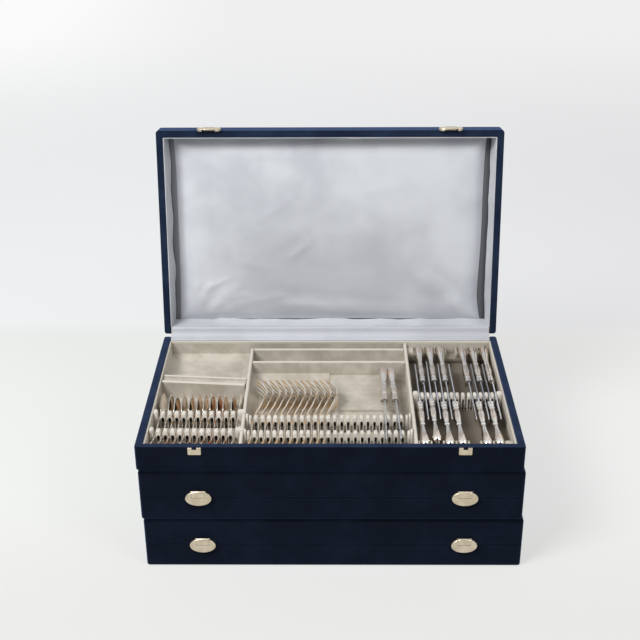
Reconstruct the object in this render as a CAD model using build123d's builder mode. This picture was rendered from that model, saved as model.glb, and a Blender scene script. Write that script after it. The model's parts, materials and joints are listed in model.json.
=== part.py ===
"""Silverware chest: three stacked velvet presentation cases for table silver.

Frame: millimetres, +Z up, -Y is the front with the latches. The origin is the centre of the
bottom case's underside. Each piece of a case is drawn once, on a closed case that stands on
Z = 0, and is then placed in the bottom, middle and top case.
"""

import os
from math import cos, radians, sin

from build123d import *

os.makedirs("parts", exist_ok=True)

# ---------------------------------------------------------------- driving dimensions
# One case, outside
CASE_W = 520.0
CASE_D = 318.0
BASE_H = 37.5
LID_H = 39.1
RIM_GAP = 0.4
WALL = 9.5
BOTTOM_T = 5.0
LID_TOP_T = 5.0
CORNER_R = 4.0
EDGE_R = 3.0
RIM_R = 1.0

# How the cases are stacked, and how far the top lid leans back
STACK_GAP = 0.3
MIDDLE_SHIFT = (-2.4, 1.6)
TOP_SHIFT = (-4.7, 5.0)
LID_OPEN_ANGLE = 99.45

# Piano hinge and the satin strip over it
HINGE_STANDOFF = 2.6
BARREL_R = 2.0
PIN_R = 0.9
PIN_PLAY = 0.05
LEAF_T = 0.8
LEAF_W = 8.5
KNUCKLES = 13
KNUCKLE_PLAY = 0.4
HINGE_END_GAP = 1.0
GUSSET_T = 0.6
GUSSET_SKIN = 0.3
SEAT_GAP = 0.3

# Latches
LATCH_FROM_END = 80.0
FLAP_W = 36.0
FLAP_H = 23.2
FLAP_DOME = 4.4
FLAP_T = 0.9
FLAP_WALL_GAP = 0.4
FLAP_EDGE_R = 1.6
FLAP_DROP = 0.85
LATCH_PIVOT_Z = 9.6
LATCH_PIVOT_OUT = 2.2
LATCH_PIN_R = 0.6
LATCH_PIN_PLAY = 0.05
LATCH_ROLL_R = 1.2
LATCH_LEAF_W = 17.4
LATCH_LEAF_T = 0.8
LATCH_LEAF_OUT = 4.1
LATCH_LEAF_BOTTOM = 0.8
LATCH_LEAF_TOP = 8.3
LATCH_PLAY = 0.3
CHEEK_T = 1.0
CATCH_W = 17.5
CATCH_H = 11.0
CATCH_TOP = 0.6
CATCH_T = 0.8
EAR_H = 3.0
EAR_NOTCH = 6.2
EAR_CURL_R = 0.9
EAR_SIDE_GAP = 0.4
CATCH_CORNER_R = 1.5

# Lid lining and pad
LINING_GAP = 0.2
LINING_T = 1.2
LINING_TOP_T = 0.8
PAD_SIDE_GAP = 12.0
PAD_FRONT_GAP = 6.0
PAD_REAR_GAP = 2.5
PAD_PULL_IN = 2.5
# The pad's thickness, and how far inside its edge it reaches that thickness
PAD_RINGS = ((0.0, 0.0), (3.0, 0.0), (6.0, 4.0), (8.5, 12.0), (10.5, 28.0), (12.8, 62.0), (14.0, 105.0))

# Insert
FIT = 0.3
TRAY_WALL = 2.5
TRAY_FLOOR = 1.5
TRAY_DROP = 2.5
SLOPE_W = 12.0
SLOPE_H = 7.0
PARTITION_T = 5.0
PARTITION_DROP = 5.0
PARTITION_R = 2.2
LEFT_ZONE_W = 125.0
RIGHT_ZONE_W = 128.7
REAR_CHANNEL_D = 17.5
MIDDLE_CHANNEL_D = 35.0
PLATFORM_W = 97.0
PLATFORM_D = 102.0
PLATFORM_H = 4.8
PLATFORM_FROM_RIGHT = 17.0
PLATFORM_R = 1.5
RAIL_SKEW = 4.8
RAIL_FROM_REAR = 116.0
REAR_BAY_D = 96.0
RAIL_REAR_LIP = 4.0
RAIL_TROUGH = 12.0
RAIL_FRONT_LIP = 6.0
RAIL_TROUGH_DEPTH = 3.0
RAIL_R = 1.4

# Combs
COMB_D = 9.0
COMB_DROP = 5.0
EAR_RISE = 2.0
SLOT_W = 3.4
SLOT_DEPTH = 17.5
TOOTH_R = 2.4
COMB_MARGIN = 5.5
FORK_COMB_MARGIN = 8.0
SPOON_PITCH = 9.9
FORK_PITCH = 9.2
KNIFE_PITCH = 8.4
SPOON_COMB_Y = (81.7, 35.7)
FORK_COMB_Y = (70.7, 30.7)
KNIFE_COMB_Y = 132.7
REST_D = 18.0
REST_DROP = 8.0

# Silver
SPOON_DROP = 15.5
FORK_DROP = 14.0
SPOON_COUNT = 12
SPOON_L = 137.0
SPOON_T = 1.8
SPOON_BOWL_L = 45.0
SPOON_BOWL_W = 28.6
SPOON_DISH = 5.5
SPOON_HANDLE_W = 13.5
FORK_COUNT = 12
FORK_L = 176.0
FORK_T = 2.0
FORK_HEAD_L = 52.0
FORK_HEAD_W = 23.0
FORK_BEND = 17.0
FORK_BEND_L = 101.0
FORK_HANDLE_W = 13.5
TINE_GAP = 2.2
TINE_L = 34.0
SILVER_FRONT_GAP = 1.5
STEM_W = 5.0
KNIFE_L = 219.0
KNIFE_HANDLE_L = 111.0
KNIFE_HANDLE_T = 11.0
KNIFE_HANDLE_H = 18.6
BLADE_H = 17.0
BLADE_T = 1.5
KNIFE_DROP = 13.5
KNIFE_BUTT_GAP = 4.0
FRONT_BUTT_GAP = 9.5
SMALL_KNIFE_L = 196.0
SMALL_KNIFE_HANDLE_L = 90.0
SMALL_KNIFE_HANDLE_T = 8.0
SMALL_KNIFE_HANDLE_H = 15.0
SMALL_KNIFE_TURN = 1.2
SMALL_KNIFE_SLOTS = (-4, -2)

# Lower cases' inserts
LOWER_LEFT_ZONE_W = 300.0
LOWER_COMB_Y = (205.0, 75.0)
LOWER_PITCH = 12.4

# ---------------------------------------------------------------- worked out from them
CASE_H = BASE_H + RIM_GAP + LID_H
LID_Z = BASE_H + RIM_GAP
BACK = CASE_D / 2
FRONT = -CASE_D / 2
CAVITY_W = CASE_W - 2 * WALL
CAVITY_D = CASE_D - 2 * WALL
SEAM_Z = BASE_H + RIM_GAP / 2
LATCH_X = CASE_W / 2 - LATCH_FROM_END

HINGE_Y = BACK + HINGE_STANDOFF
HINGE_Z = SEAM_Z
HINGE_L = CAVITY_W - 2 * HINGE_END_GAP
KNUCKLE_L = HINGE_L / KNUCKLES
HINGE_REBATE = LEAF_T + SEAT_GAP + GUSSET_T + GUSSET_SKIN - RIM_GAP / 2
LEAF_INNER_Y = BACK - LEAF_W
LEAF_OUTER_Y = HINGE_Y - BARREL_R - SEAT_GAP

TRAY_W = CAVITY_W - 2 * FIT
TRAY_D = CAVITY_D - 2 * FIT
TRAY_TOP = BASE_H - TRAY_DROP
FLOOR_Z = BOTTOM_T + TRAY_FLOOR
INNER_X = TRAY_W / 2 - TRAY_WALL
INNER_Y = TRAY_D / 2 - TRAY_WALL
PARTITION_TOP = BASE_H - PARTITION_DROP
MIDDLE_LEFT = -INNER_X + LEFT_ZONE_W + PARTITION_T
MIDDLE_RIGHT = INNER_X - RIGHT_ZONE_W - PARTITION_T
MIDDLE_X = (MIDDLE_LEFT + MIDDLE_RIGHT) / 2
MIDDLE_W = MIDDLE_RIGHT - MIDDLE_LEFT
LEFT_X = -INNER_X + LEFT_ZONE_W / 2
RIGHT_X = INNER_X - RIGHT_ZONE_W / 2
REAR_BAR_Y = INNER_Y - REAR_CHANNEL_D - PARTITION_T / 2
FRONT_BAR_Y = REAR_BAR_Y - MIDDLE_CHANNEL_D - PARTITION_T
FORK_BAY_Y = FRONT_BAR_Y - PARTITION_T / 2
PLATFORM_LEFT = MIDDLE_RIGHT - PLATFORM_FROM_RIGHT - PLATFORM_W
COMB_TOP = BASE_H - COMB_DROP
SPOON_Z = BASE_H - SPOON_DROP
FORK_Z = BASE_H - FORK_DROP
KNIFE_Z = BASE_H - KNIFE_DROP
SILVER_FRONT_Y = -INNER_Y + SILVER_FRONT_GAP


def write_node(node, part, place=Location()):
    """Place a finished piece, give it its node's name and write its file."""
    placed = part.moved(place)
    placed.label = node
    export_step(placed, f"parts/{node}.step")


# ---------------------------------------------------------------- case shells
with BuildPart() as base_shell:
    with BuildSketch():
        Rectangle(CASE_W, CASE_D)
    extrude(amount=BASE_H)
    fillet(base_shell.edges().filter_by(Axis.Z), radius=CORNER_R)
    fillet(base_shell.faces().sort_by(Axis.Z)[0].edges(), radius=EDGE_R)
    fillet(base_shell.faces().sort_by(Axis.Z)[-1].edges(), radius=RIM_R)
    with BuildSketch(Plane.XY.offset(BOTTOM_T)):
        Rectangle(CAVITY_W, CAVITY_D)
    extrude(amount=BASE_H, mode=Mode.SUBTRACT)
    # Rebate in the rear rim for the hinge leaf and the satin over it
    with BuildSketch(Plane.XY.offset(BASE_H - HINGE_REBATE)):
        with Locations((0, BACK)):
            Rectangle(CAVITY_W, 2 * WALL)
    extrude(amount=2 * HINGE_REBATE, mode=Mode.SUBTRACT)

with BuildPart() as lid_shell:
    with BuildSketch(Plane.XY.offset(LID_Z)):
        Rectangle(CASE_W, CASE_D)
    extrude(amount=LID_H)
    fillet(lid_shell.edges().filter_by(Axis.Z), radius=CORNER_R)
    fillet(lid_shell.faces().sort_by(Axis.Z)[-1].edges(), radius=EDGE_R)
    fillet(lid_shell.faces().sort_by(Axis.Z)[0].edges(), radius=RIM_R)
    with BuildSketch(Plane.XY.offset(CASE_H - LID_TOP_T)):
        Rectangle(CAVITY_W, CAVITY_D)
    extrude(amount=-LID_H, mode=Mode.SUBTRACT)
    with BuildSketch(Plane.XY.offset(LID_Z + HINGE_REBATE)):
        with Locations((0, BACK)):
            Rectangle(CAVITY_W, 2 * WALL)
    extrude(amount=-2 * HINGE_REBATE, mode=Mode.SUBTRACT)

# ---------------------------------------------------------------- lid lining and pad
LINING_W = CAVITY_W - 2 * LINING_GAP
LINING_D = CAVITY_D - 2 * LINING_GAP
LINING_TOP = CASE_H - LID_TOP_T - LINING_GAP
PAD_TOP = LINING_TOP - LINING_TOP_T - SEAT_GAP
PAD_LEFT = LINING_W / 2 - LINING_T - PAD_SIDE_GAP
PAD_FRONT = -LINING_D / 2 + LINING_T + PAD_FRONT_GAP
PAD_REAR = LINING_D / 2 - LINING_T - PAD_REAR_GAP

with BuildPart() as lid_lining:
    with BuildSketch(Plane.XY.offset(LINING_TOP)):
        Rectangle(LINING_W, LINING_D)
    extrude(amount=-(LINING_TOP - LID_Z - RIM_R))
    with BuildSketch(Plane.XY.offset(LINING_TOP - LINING_TOP_T)):
        Rectangle(LINING_W - 2 * LINING_T, LINING_D - 2 * LINING_T)
    extrude(amount=-LID_H, mode=Mode.SUBTRACT)


def pad_ring(inset):
    """Outline of the pad this far inside its edge: a rectangle whose sides pull in between its corners."""
    x = PAD_LEFT - inset
    front = PAD_FRONT + inset
    rear = PAD_REAR - inset
    middle = (front + rear) / 2
    with BuildSketch() as ring:
        with BuildLine():
            ThreePointArc((-x, front), (0, front + PAD_PULL_IN), (x, front))
            ThreePointArc((x, front), (x - PAD_PULL_IN, middle), (x, rear))
            ThreePointArc((x, rear), (0, rear - PAD_PULL_IN), (-x, rear))
            ThreePointArc((-x, rear), (PAD_PULL_IN - x, middle), (-x, front))
        make_face()
    return ring.sketch


with BuildPart() as lid_pad:
    for thickness, inset in PAD_RINGS:
        with BuildSketch(Plane.XY.offset(PAD_TOP - thickness)):
            add(pad_ring(inset))
    loft(ruled=True)

# ---------------------------------------------------------------- piano hinge
def knuckle_places(first):
    """Centres of every second knuckle, counted from the left end of the hinge."""
    left = -HINGE_L / 2 + KNUCKLE_L / 2
    return [left + k * KNUCKLE_L for k in range(first, KNUCKLES, 2)]


def hinge_leaf(leaf_bottom, first):
    """One leaf of the piano hinge: a flat strip in the rim and its own knuckles."""
    with BuildPart() as leaf:
        with BuildSketch(Plane.XY.offset(leaf_bottom)):
            with Locations((0, (LEAF_INNER_Y + LEAF_OUTER_Y) / 2)):
                Rectangle(HINGE_L, LEAF_OUTER_Y - LEAF_INNER_Y)
            for x in knuckle_places(first):
                with Locations((x, (LEAF_OUTER_Y + HINGE_Y) / 2)):
                    Rectangle(KNUCKLE_L - KNUCKLE_PLAY, HINGE_Y - LEAF_OUTER_Y)
        extrude(amount=LEAF_T)
        for x in knuckle_places(first):
            with BuildSketch(Plane.YZ.offset(x)):
                with Locations((HINGE_Y, HINGE_Z)):
                    Circle(BARREL_R)
            extrude(amount=(KNUCKLE_L - KNUCKLE_PLAY) / 2, both=True)
        with BuildSketch(Plane.YZ):
            with Locations((HINGE_Y, HINGE_Z)):
                Circle(PIN_R + PIN_PLAY)
        extrude(amount=HINGE_L, both=True, mode=Mode.SUBTRACT)
    return leaf.part


def gusset_half(strip_bottom):
    """Half of the satin strip that covers the rear rims over the hinge leaves."""
    with BuildPart() as strip:
        with BuildSketch(Plane.XY.offset(strip_bottom)):
            with Locations((0, (LEAF_INNER_Y + BACK) / 2)):
                Rectangle(HINGE_L, BACK - LEAF_INNER_Y)
        extrude(amount=GUSSET_T)
    return strip.part


hinge_base_leaf = hinge_leaf(BASE_H - HINGE_REBATE, 0)
hinge_lid_leaf = hinge_leaf(LID_Z + HINGE_REBATE - LEAF_T, 1)
gusset_lower = gusset_half(BASE_H - HINGE_REBATE + LEAF_T + SEAT_GAP)
gusset_upper = gusset_half(LID_Z + HINGE_REBATE - LEAF_T - SEAT_GAP - GUSSET_T)

with BuildPart() as hinge_pin:
    with BuildSketch(Plane.YZ):
        with Locations((HINGE_Y, HINGE_Z)):
            Circle(PIN_R)
    extrude(amount=HINGE_L / 2, both=True)

# ---------------------------------------------------------------- latches
# Side views are drawn in the YZ plane: OUT(s) is s mm outward from the front wall.
PIVOT_Z = SEAM_Z + LATCH_PIVOT_Z
FLAP_Z = SEAM_Z - FLAP_DROP


def out(s):
    """Y of a point s mm outward from the case's front wall."""
    return FRONT - s


PIVOT_Y = out(LATCH_PIVOT_OUT)

with BuildPart() as latch_leaves:
    for side in (-1, 1):
        with BuildSketch(Plane.YZ.offset(side * LATCH_X)):
            with BuildLine():
                Polyline(
                    (out(0), SEAM_Z + LATCH_LEAF_BOTTOM),
                    (out(LATCH_LEAF_OUT), SEAM_Z + LATCH_LEAF_BOTTOM),
                    (out(LATCH_LEAF_OUT), SEAM_Z + LATCH_LEAF_TOP),
                    (out(LATCH_PIVOT_OUT), SEAM_Z + LATCH_LEAF_TOP),
                    (out(LATCH_PIVOT_OUT), PIVOT_Z),
                    (out(0), PIVOT_Z),
                    close=True,
                )
            make_face()
            with BuildLine():
                Polyline(
                    (out(LATCH_LEAF_T), SEAM_Z + LATCH_LEAF_BOTTOM + LATCH_LEAF_T),
                    (out(LATCH_LEAF_OUT - LATCH_LEAF_T), SEAM_Z + LATCH_LEAF_BOTTOM + LATCH_LEAF_T),
                    (out(LATCH_LEAF_OUT - LATCH_LEAF_T), SEAM_Z + LATCH_LEAF_TOP - LATCH_LEAF_T),
                    (out(LATCH_LEAF_T), SEAM_Z + LATCH_LEAF_TOP - LATCH_LEAF_T),
                    close=True,
                )
            make_face(mode=Mode.SUBTRACT)
            with Locations((PIVOT_Y, PIVOT_Z)):
                Circle(LATCH_ROLL_R)
                Circle(LATCH_PIN_R + LATCH_PIN_PLAY, mode=Mode.SUBTRACT)
        extrude(amount=LATCH_LEAF_W / 2, both=True)

with BuildPart() as latch_pins:
    for side in (-1, 1):
        with BuildSketch(Plane.YZ.offset(side * LATCH_X)):
            with Locations((PIVOT_Y, PIVOT_Z)):
                Circle(LATCH_PIN_R)
        extrude(amount=LATCH_LEAF_W / 2 + LATCH_PLAY + CHEEK_T, both=True)

with BuildPart() as catch_plates:
    plate_top = SEAM_Z - CATCH_TOP
    ear_w = (CATCH_W - EAR_NOTCH) / 2
    for side in (-1, 1):
        with BuildSketch(Plane.XZ.offset(-out(0))) as plate:
            with Locations((side * LATCH_X, plate_top - CATCH_H / 2)):
                Rectangle(CATCH_W, CATCH_H)
            fillet(plate.vertices().group_by(Axis.Y)[0], radius=CATCH_CORNER_R)
            with Locations((side * LATCH_X, plate_top - EAR_H / 2)):
                Rectangle(EAR_NOTCH, EAR_H, mode=Mode.SUBTRACT)
        extrude(amount=CATCH_T)
        # Each ear ends in a curl, set a little above the plate's edge
        for ear in (-1, 1):
            ear_x = side * LATCH_X + ear * (EAR_NOTCH + ear_w) / 2
            with BuildSketch(Plane.YZ.offset(ear_x)):
                with Locations((out(CATCH_T), plate_top - EAR_CURL_R * 0.8)):
                    Circle(EAR_CURL_R)
                with Locations((out(0) + EAR_CURL_R, plate_top - EAR_CURL_R * 0.8)):
                    Rectangle(2 * EAR_CURL_R, 4 * EAR_CURL_R, mode=Mode.SUBTRACT)
            extrude(amount=(ear_w - EAR_SIDE_GAP) / 2, both=True)


def latch_flap(x):
    """Oval domed flap with its window, its two cheeks for the pin, and open top and bottom."""
    arm_w = LATCH_LEAF_W + 2 * (LATCH_PLAY + CHEEK_T)
    window_w = LATCH_LEAF_W + 2 * LATCH_PLAY
    face_in = FLAP_DOME - FLAP_T
    window_bottom = SEAM_Z + LATCH_LEAF_BOTTOM - LATCH_PLAY
    window_top = SEAM_Z + LATCH_LEAF_TOP + LATCH_PLAY
    with BuildPart() as flap:
        with BuildSketch(Plane.XZ.offset(-out(FLAP_WALL_GAP))):
            with Locations((x, FLAP_Z)):
                Ellipse(FLAP_W / 2, FLAP_H / 2)
        extrude(amount=FLAP_DOME - FLAP_WALL_GAP)
        fillet(flap.faces().sort_by(Axis.Y)[0].edges(), radius=FLAP_EDGE_R)
        with BuildSketch(Plane.XZ.offset(-out(0))):
            with Locations((x, FLAP_Z)):
                Ellipse(FLAP_W / 2 - FLAP_T, FLAP_H / 2 - FLAP_T)
        extrude(amount=face_in, mode=Mode.SUBTRACT)
        # The skirt is open over the catch below and over the leaf's roll above
        for z in (FLAP_Z - FLAP_H / 2, FLAP_Z + FLAP_H / 2):
            with BuildSketch(Plane.XZ.offset(-out(0))):
                with Locations((x, z)):
                    Rectangle(arm_w, FLAP_H / 2)
            extrude(amount=face_in, mode=Mode.SUBTRACT)
        with BuildSketch(Plane.XZ.offset(-out(0))):
            with Locations((x, (window_bottom + window_top) / 2)):
                Rectangle(window_w, window_top - window_bottom)
        extrude(amount=2 * FLAP_DOME, mode=Mode.SUBTRACT)
        for cheek in (-1, 1):
            with BuildSketch(Plane.YZ.offset(x + cheek * (window_w + CHEEK_T) / 2)):
                with Locations((PIVOT_Y, PIVOT_Z)):
                    Circle(LATCH_ROLL_R)
                with Locations(((PIVOT_Y + out(FLAP_DOME - FLAP_T / 2)) / 2, PIVOT_Z - LATCH_ROLL_R / 2)):
                    Rectangle(FLAP_DOME - FLAP_T / 2 - LATCH_PIVOT_OUT, LATCH_ROLL_R * 2)
            extrude(amount=CHEEK_T / 2, both=True)
        with BuildSketch(Plane.YZ.offset(x)):
            with Locations((PIVOT_Y, PIVOT_Z)):
                Circle(LATCH_PIN_R + LATCH_PIN_PLAY)
        extrude(amount=arm_w, both=True, mode=Mode.SUBTRACT)
    return flap.part


flap_left = latch_flap(-LATCH_X)
flap_right = latch_flap(LATCH_X)

# ---------------------------------------------------------------- insert: tray and partitions
with BuildPart() as tray_box:
    with BuildSketch(Plane.XY.offset(BOTTOM_T)):
        Rectangle(TRAY_W, TRAY_D)
    extrude(amount=TRAY_TOP - BOTTOM_T)
    with BuildSketch(Plane.XY.offset(FLOOR_Z)):
        Rectangle(2 * INNER_X, 2 * INNER_Y)
    extrude(amount=TRAY_TOP, mode=Mode.SUBTRACT)
    fillet(tray_box.faces().sort_by(Axis.Z)[-1].edges(), radius=TRAY_WALL * 0.3)


def sloped_bay(x_low, x_high, y_low, y_high, right_slope_w):
    """Sloping lower walls of a bay: a low block with a tapered pocket open to the front."""
    with BuildPart() as bay:
        with BuildSketch(Plane.XY.offset(FLOOR_Z)):
            with Locations(((x_low + x_high) / 2, (y_low + y_high) / 2)):
                Rectangle(x_high - x_low, y_high - y_low)
        extrude(amount=SLOPE_H)
        for z, slope_w, right in (
            (FLOOR_Z, SLOPE_W, x_high - right_slope_w),
            (FLOOR_Z + SLOPE_H, 0, x_high),
        ):
            with BuildSketch(Plane.XY.offset(z)):
                with BuildLine():
                    Polyline(
                        (x_low + slope_w, y_low - SLOPE_W),
                        (right, y_low - SLOPE_W),
                        (right, y_high - slope_w),
                        (x_low + slope_w, y_high - slope_w),
                        close=True,
                    )
                make_face()
        loft(ruled=True, mode=Mode.SUBTRACT)
    return bay.part


def partition(x_low, x_high, y_low, y_high):
    """A flocked board that stands on the tray's floor, rounded along its top."""
    with BuildPart() as board:
        with BuildSketch(Plane.XY.offset(FLOOR_Z)):
            with Locations(((x_low + x_high) / 2, (y_low + y_high) / 2)):
                Rectangle(x_high - x_low, y_high - y_low)
        extrude(amount=PARTITION_TOP - FLOOR_Z)
        fillet(board.faces().sort_by(Axis.Z)[-1].edges(), radius=PARTITION_R)
    return board.part


with BuildPart() as top_tray:
    add(tray_box.part)
    add(
        sloped_bay(-INNER_X, MIDDLE_LEFT - PARTITION_T - FIT, INNER_Y - REAR_BAY_D, INNER_Y, SLOPE_W)
    )
    add(
        sloped_bay(
            MIDDLE_LEFT + FIT,
            PLATFORM_LEFT - FIT,
            -INNER_Y + FORK_COMB_Y[0] + COMB_D + FIT,
            FORK_BAY_Y - FIT,
            0,
        )
    )

left_divider = partition(
    MIDDLE_LEFT - PARTITION_T, MIDDLE_LEFT, -INNER_Y + FIT, REAR_BAR_Y + PARTITION_T / 2
)
right_divider = partition(MIDDLE_RIGHT, MIDDLE_RIGHT + PARTITION_T, -INNER_Y + FIT, INNER_Y - FIT)

with BuildPart() as rear_bars:
    for y in (REAR_BAR_Y, FRONT_BAR_Y):
        add(partition(MIDDLE_LEFT + FIT, MIDDLE_RIGHT - FIT, y - PARTITION_T / 2, y + PARTITION_T / 2))

with BuildPart() as platform:
    with BuildSketch(Plane.XY.offset(FLOOR_Z)):
        with Locations((PLATFORM_LEFT + PLATFORM_W / 2, FORK_BAY_Y - FIT - PLATFORM_D / 2)):
            Rectangle(PLATFORM_W, PLATFORM_D)
    extrude(amount=PLATFORM_H)
    fillet(platform.faces().sort_by(Axis.Z)[-1].edges(), radius=PLATFORM_R)

RAIL_D = RAIL_REAR_LIP + RAIL_TROUGH + RAIL_FRONT_LIP
RAIL_L = (LEFT_ZONE_W - 2 * FIT - RAIL_D * sin(radians(RAIL_SKEW))) / cos(radians(RAIL_SKEW))

with BuildPart() as cross_rail:
    with BuildSketch(Plane((LEFT_X, INNER_Y - RAIL_FROM_REAR, FLOOR_Z)).rotated((0, 0, -RAIL_SKEW))):
        Rectangle(RAIL_L, RAIL_D)
    extrude(amount=PARTITION_TOP - FLOOR_Z)
    with BuildSketch(Plane((LEFT_X, INNER_Y - RAIL_FROM_REAR, PARTITION_TOP)).rotated((0, 0, -RAIL_SKEW))):
        with Locations((0, (RAIL_FRONT_LIP - RAIL_REAR_LIP) / 2)):
            Rectangle(RAIL_L, RAIL_TROUGH)
    extrude(amount=-RAIL_TROUGH_DEPTH, mode=Mode.SUBTRACT)
    lip_tops = cross_rail.faces().filter_by(Axis.Z).group_by(Axis.Z)[-1]
    fillet(lip_tops.edges(), radius=RAIL_R)

# ---------------------------------------------------------------- insert: combs and rests
def slot_places(x_centre, width, pitch, margin=COMB_MARGIN):
    """X of each slot: as many as the comb holds between its end margins, centred in it."""
    count = int((width - 2 * margin - SLOT_W) / pitch) + 1
    return [x_centre + (k - (count - 1) / 2) * pitch for k in range(count)]


def comb(slots, x_centre, width, y_rear):
    """A moulded rack: round-topped teeth on a bar, with a taller ear from each end slot to the end."""
    tooth_w = slots[1] - slots[0] - SLOT_W
    teeth = [(low + high) / 2 for low, high in zip(slots, slots[1:])]
    bar_top = COMB_TOP - SLOT_DEPTH
    root = bar_top - TOOTH_R
    ear_top = COMB_TOP + EAR_RISE
    ears = (
        (x_centre - width / 2 + FIT, slots[0] - SLOT_W / 2),
        (slots[-1] + SLOT_W / 2, x_centre + width / 2 - FIT),
    )
    with BuildPart() as rack:
        with BuildSketch(Plane.XZ.offset(-y_rear)):
            with Locations((x_centre, (FLOOR_Z + bar_top) / 2)):
                Rectangle(width - 2 * FIT, bar_top - FLOOR_Z)
            with Locations(*[(x, (root + COMB_TOP) / 2) for x in teeth]):
                RectangleRounded(tooth_w, COMB_TOP - root, TOOTH_R)
            for low, high in ears:
                with Locations(((low + high) / 2, (root + ear_top) / 2)):
                    RectangleRounded(high - low, ear_top - root, min(TOOTH_R, (high - low) * 0.45))
        extrude(amount=COMB_D)
    return rack.part


def knife_rest(x_centre, width, y_rear, places):
    """A block with a round-bottomed notch under each handle."""
    notch_r = KNIFE_HANDLE_T / 2 + SLOT_W / 2
    rest_top = BASE_H - REST_DROP
    notch_z = KNIFE_Z - KNIFE_HANDLE_H / 2 - SEAT_GAP + notch_r
    with BuildPart() as rest:
        with BuildSketch(Plane.XZ.offset(-y_rear)):
            with Locations((x_centre, (FLOOR_Z + rest_top) / 2)):
                Rectangle(width - 2 * FIT, rest_top - FLOOR_Z)
            with Locations(*[(x, notch_z) for x in places]):
                Circle(notch_r, mode=Mode.SUBTRACT)
            with Locations(*[(x, notch_z + CASE_H / 2) for x in places]):
                Rectangle(2 * notch_r, CASE_H, mode=Mode.SUBTRACT)
        extrude(amount=REST_D)
    return rest.part


SPOON_SLOTS = slot_places(LEFT_X, LEFT_ZONE_W, SPOON_PITCH)
FORK_SLOTS = slot_places(MIDDLE_X, MIDDLE_W, FORK_PITCH, FORK_COMB_MARGIN)
KNIFE_SLOTS = slot_places(RIGHT_X, RIGHT_ZONE_W, KNIFE_PITCH)
REAR_KNIFE_X = KNIFE_SLOTS[1::2]
FRONT_KNIFE_X = KNIFE_SLOTS[0::2]

with BuildPart() as spoon_combs:
    for y in SPOON_COMB_Y:
        add(comb(SPOON_SLOTS, LEFT_X, LEFT_ZONE_W, -INNER_Y + y + COMB_D))

with BuildPart() as fork_combs:
    for y in FORK_COMB_Y:
        add(comb(FORK_SLOTS, MIDDLE_X, MIDDLE_W, -INNER_Y + y + COMB_D))

knife_comb = comb(KNIFE_SLOTS, RIGHT_X, RIGHT_ZONE_W, -INNER_Y + KNIFE_COMB_Y + COMB_D)

with BuildPart() as knife_rests:
    add(knife_rest(RIGHT_X, RIGHT_ZONE_W, INNER_Y - FIT, REAR_KNIFE_X))
    add(knife_rest(RIGHT_X, RIGHT_ZONE_W, -INNER_Y + FIT + REST_D, FRONT_KNIFE_X))

# ---------------------------------------------------------------- silver
# A spoon or fork lies on its edge: length along Y from its handle's end at Y = 0, width along Z,
# and its bends in X.
def handle_outline(length, head_l, handle_w):
    """Outline of the handle and stem, seen from the side that shows the width."""
    neck = length - head_l
    stem_end = neck + head_l * 0.3
    half_w = handle_w / 2
    with BuildSketch() as outline:
        with BuildLine():
            ThreePointArc((half_w * 0.7, -half_w * 0.9), (0, 0), (half_w * 0.7, half_w * 0.9))
            for side in (-1, 1):
                Polyline(
                    (half_w * 0.7, side * half_w * 0.9),
                    (length * 0.14, side * half_w),
                    (length * 0.4, side * STEM_W * 0.6),
                    (stem_end, side * STEM_W / 2),
                )
            Line((stem_end, -STEM_W / 2), (stem_end, STEM_W / 2))
        make_face()
    return outline.sketch


with BuildPart() as spoon:
    neck = SPOON_L - SPOON_BOWL_L
    with BuildSketch(Plane.XY):
        with BuildLine():
            straight = Line((0, 0), (0, neck - STEM_W))
            into_bowl = TangentArc(
                straight @ 1, (SPOON_DISH * 0.27, neck + SPOON_BOWL_L * 0.11), tangent=straight % 1
            )
            bowl = TangentArc(into_bowl @ 1, (SPOON_DISH, neck + SPOON_BOWL_L * 0.58), tangent=into_bowl % 1)
            TangentArc(bowl @ 1, (SPOON_DISH * 0.73, SPOON_L), tangent=bowl % 1)
        trace(line_width=SPOON_T)
    extrude(amount=SPOON_BOWL_W, both=True)
    with BuildSketch(Plane.YZ):
        add(handle_outline(SPOON_L, SPOON_BOWL_L, SPOON_HANDLE_W))
        with Locations((SPOON_L - SPOON_BOWL_L / 2 - SPOON_T / 2, 0)):
            Ellipse(SPOON_BOWL_L / 2, SPOON_BOWL_W / 2)
    extrude(amount=SPOON_BOWL_W, both=True, mode=Mode.INTERSECT)

with BuildPart() as fork:
    with BuildSketch(Plane.XY):
        with BuildLine():
            straight = Line((0, 0), (0, FORK_L - FORK_BEND_L))
            rise_end = (FORK_BEND * 0.34, FORK_L - FORK_BEND_L * 0.72)
            rise = TangentArc(straight @ 1, rise_end, tangent=straight % 1)
            shoulder_end = (FORK_BEND * 0.97, FORK_L - FORK_BEND_L * 0.49)
            shoulder = TangentArc(rise @ 1, shoulder_end, tangent=rise % 1)
            crest = TangentArc(shoulder @ 1, (FORK_BEND, FORK_L - FORK_BEND_L * 0.38), tangent=shoulder % 1)
            TangentArc(crest @ 1, (-FORK_BEND * 0.1, FORK_L), tangent=crest % 1)
        trace(line_width=FORK_T)
    extrude(amount=FORK_HEAD_W, both=True)
    with BuildSketch(Plane.YZ):
        add(handle_outline(FORK_L, FORK_HEAD_L, FORK_HANDLE_W))
        with Locations((FORK_L - TINE_L, 0)):
            Ellipse(FORK_HEAD_L - TINE_L, FORK_HEAD_W / 2)
        with Locations((FORK_L - TINE_L / 2 - 1, 0)):
            Rectangle(TINE_L, FORK_HEAD_W)
        tine_w = (FORK_HEAD_W - 3 * TINE_GAP) / 4
        with Locations(*[(FORK_L - TINE_L / 2, k * (tine_w + TINE_GAP)) for k in (-1, 0, 1)]):
            Rectangle(TINE_L, TINE_GAP, mode=Mode.SUBTRACT)
    extrude(amount=FORK_HEAD_W, both=True, mode=Mode.INTERSECT)


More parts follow.
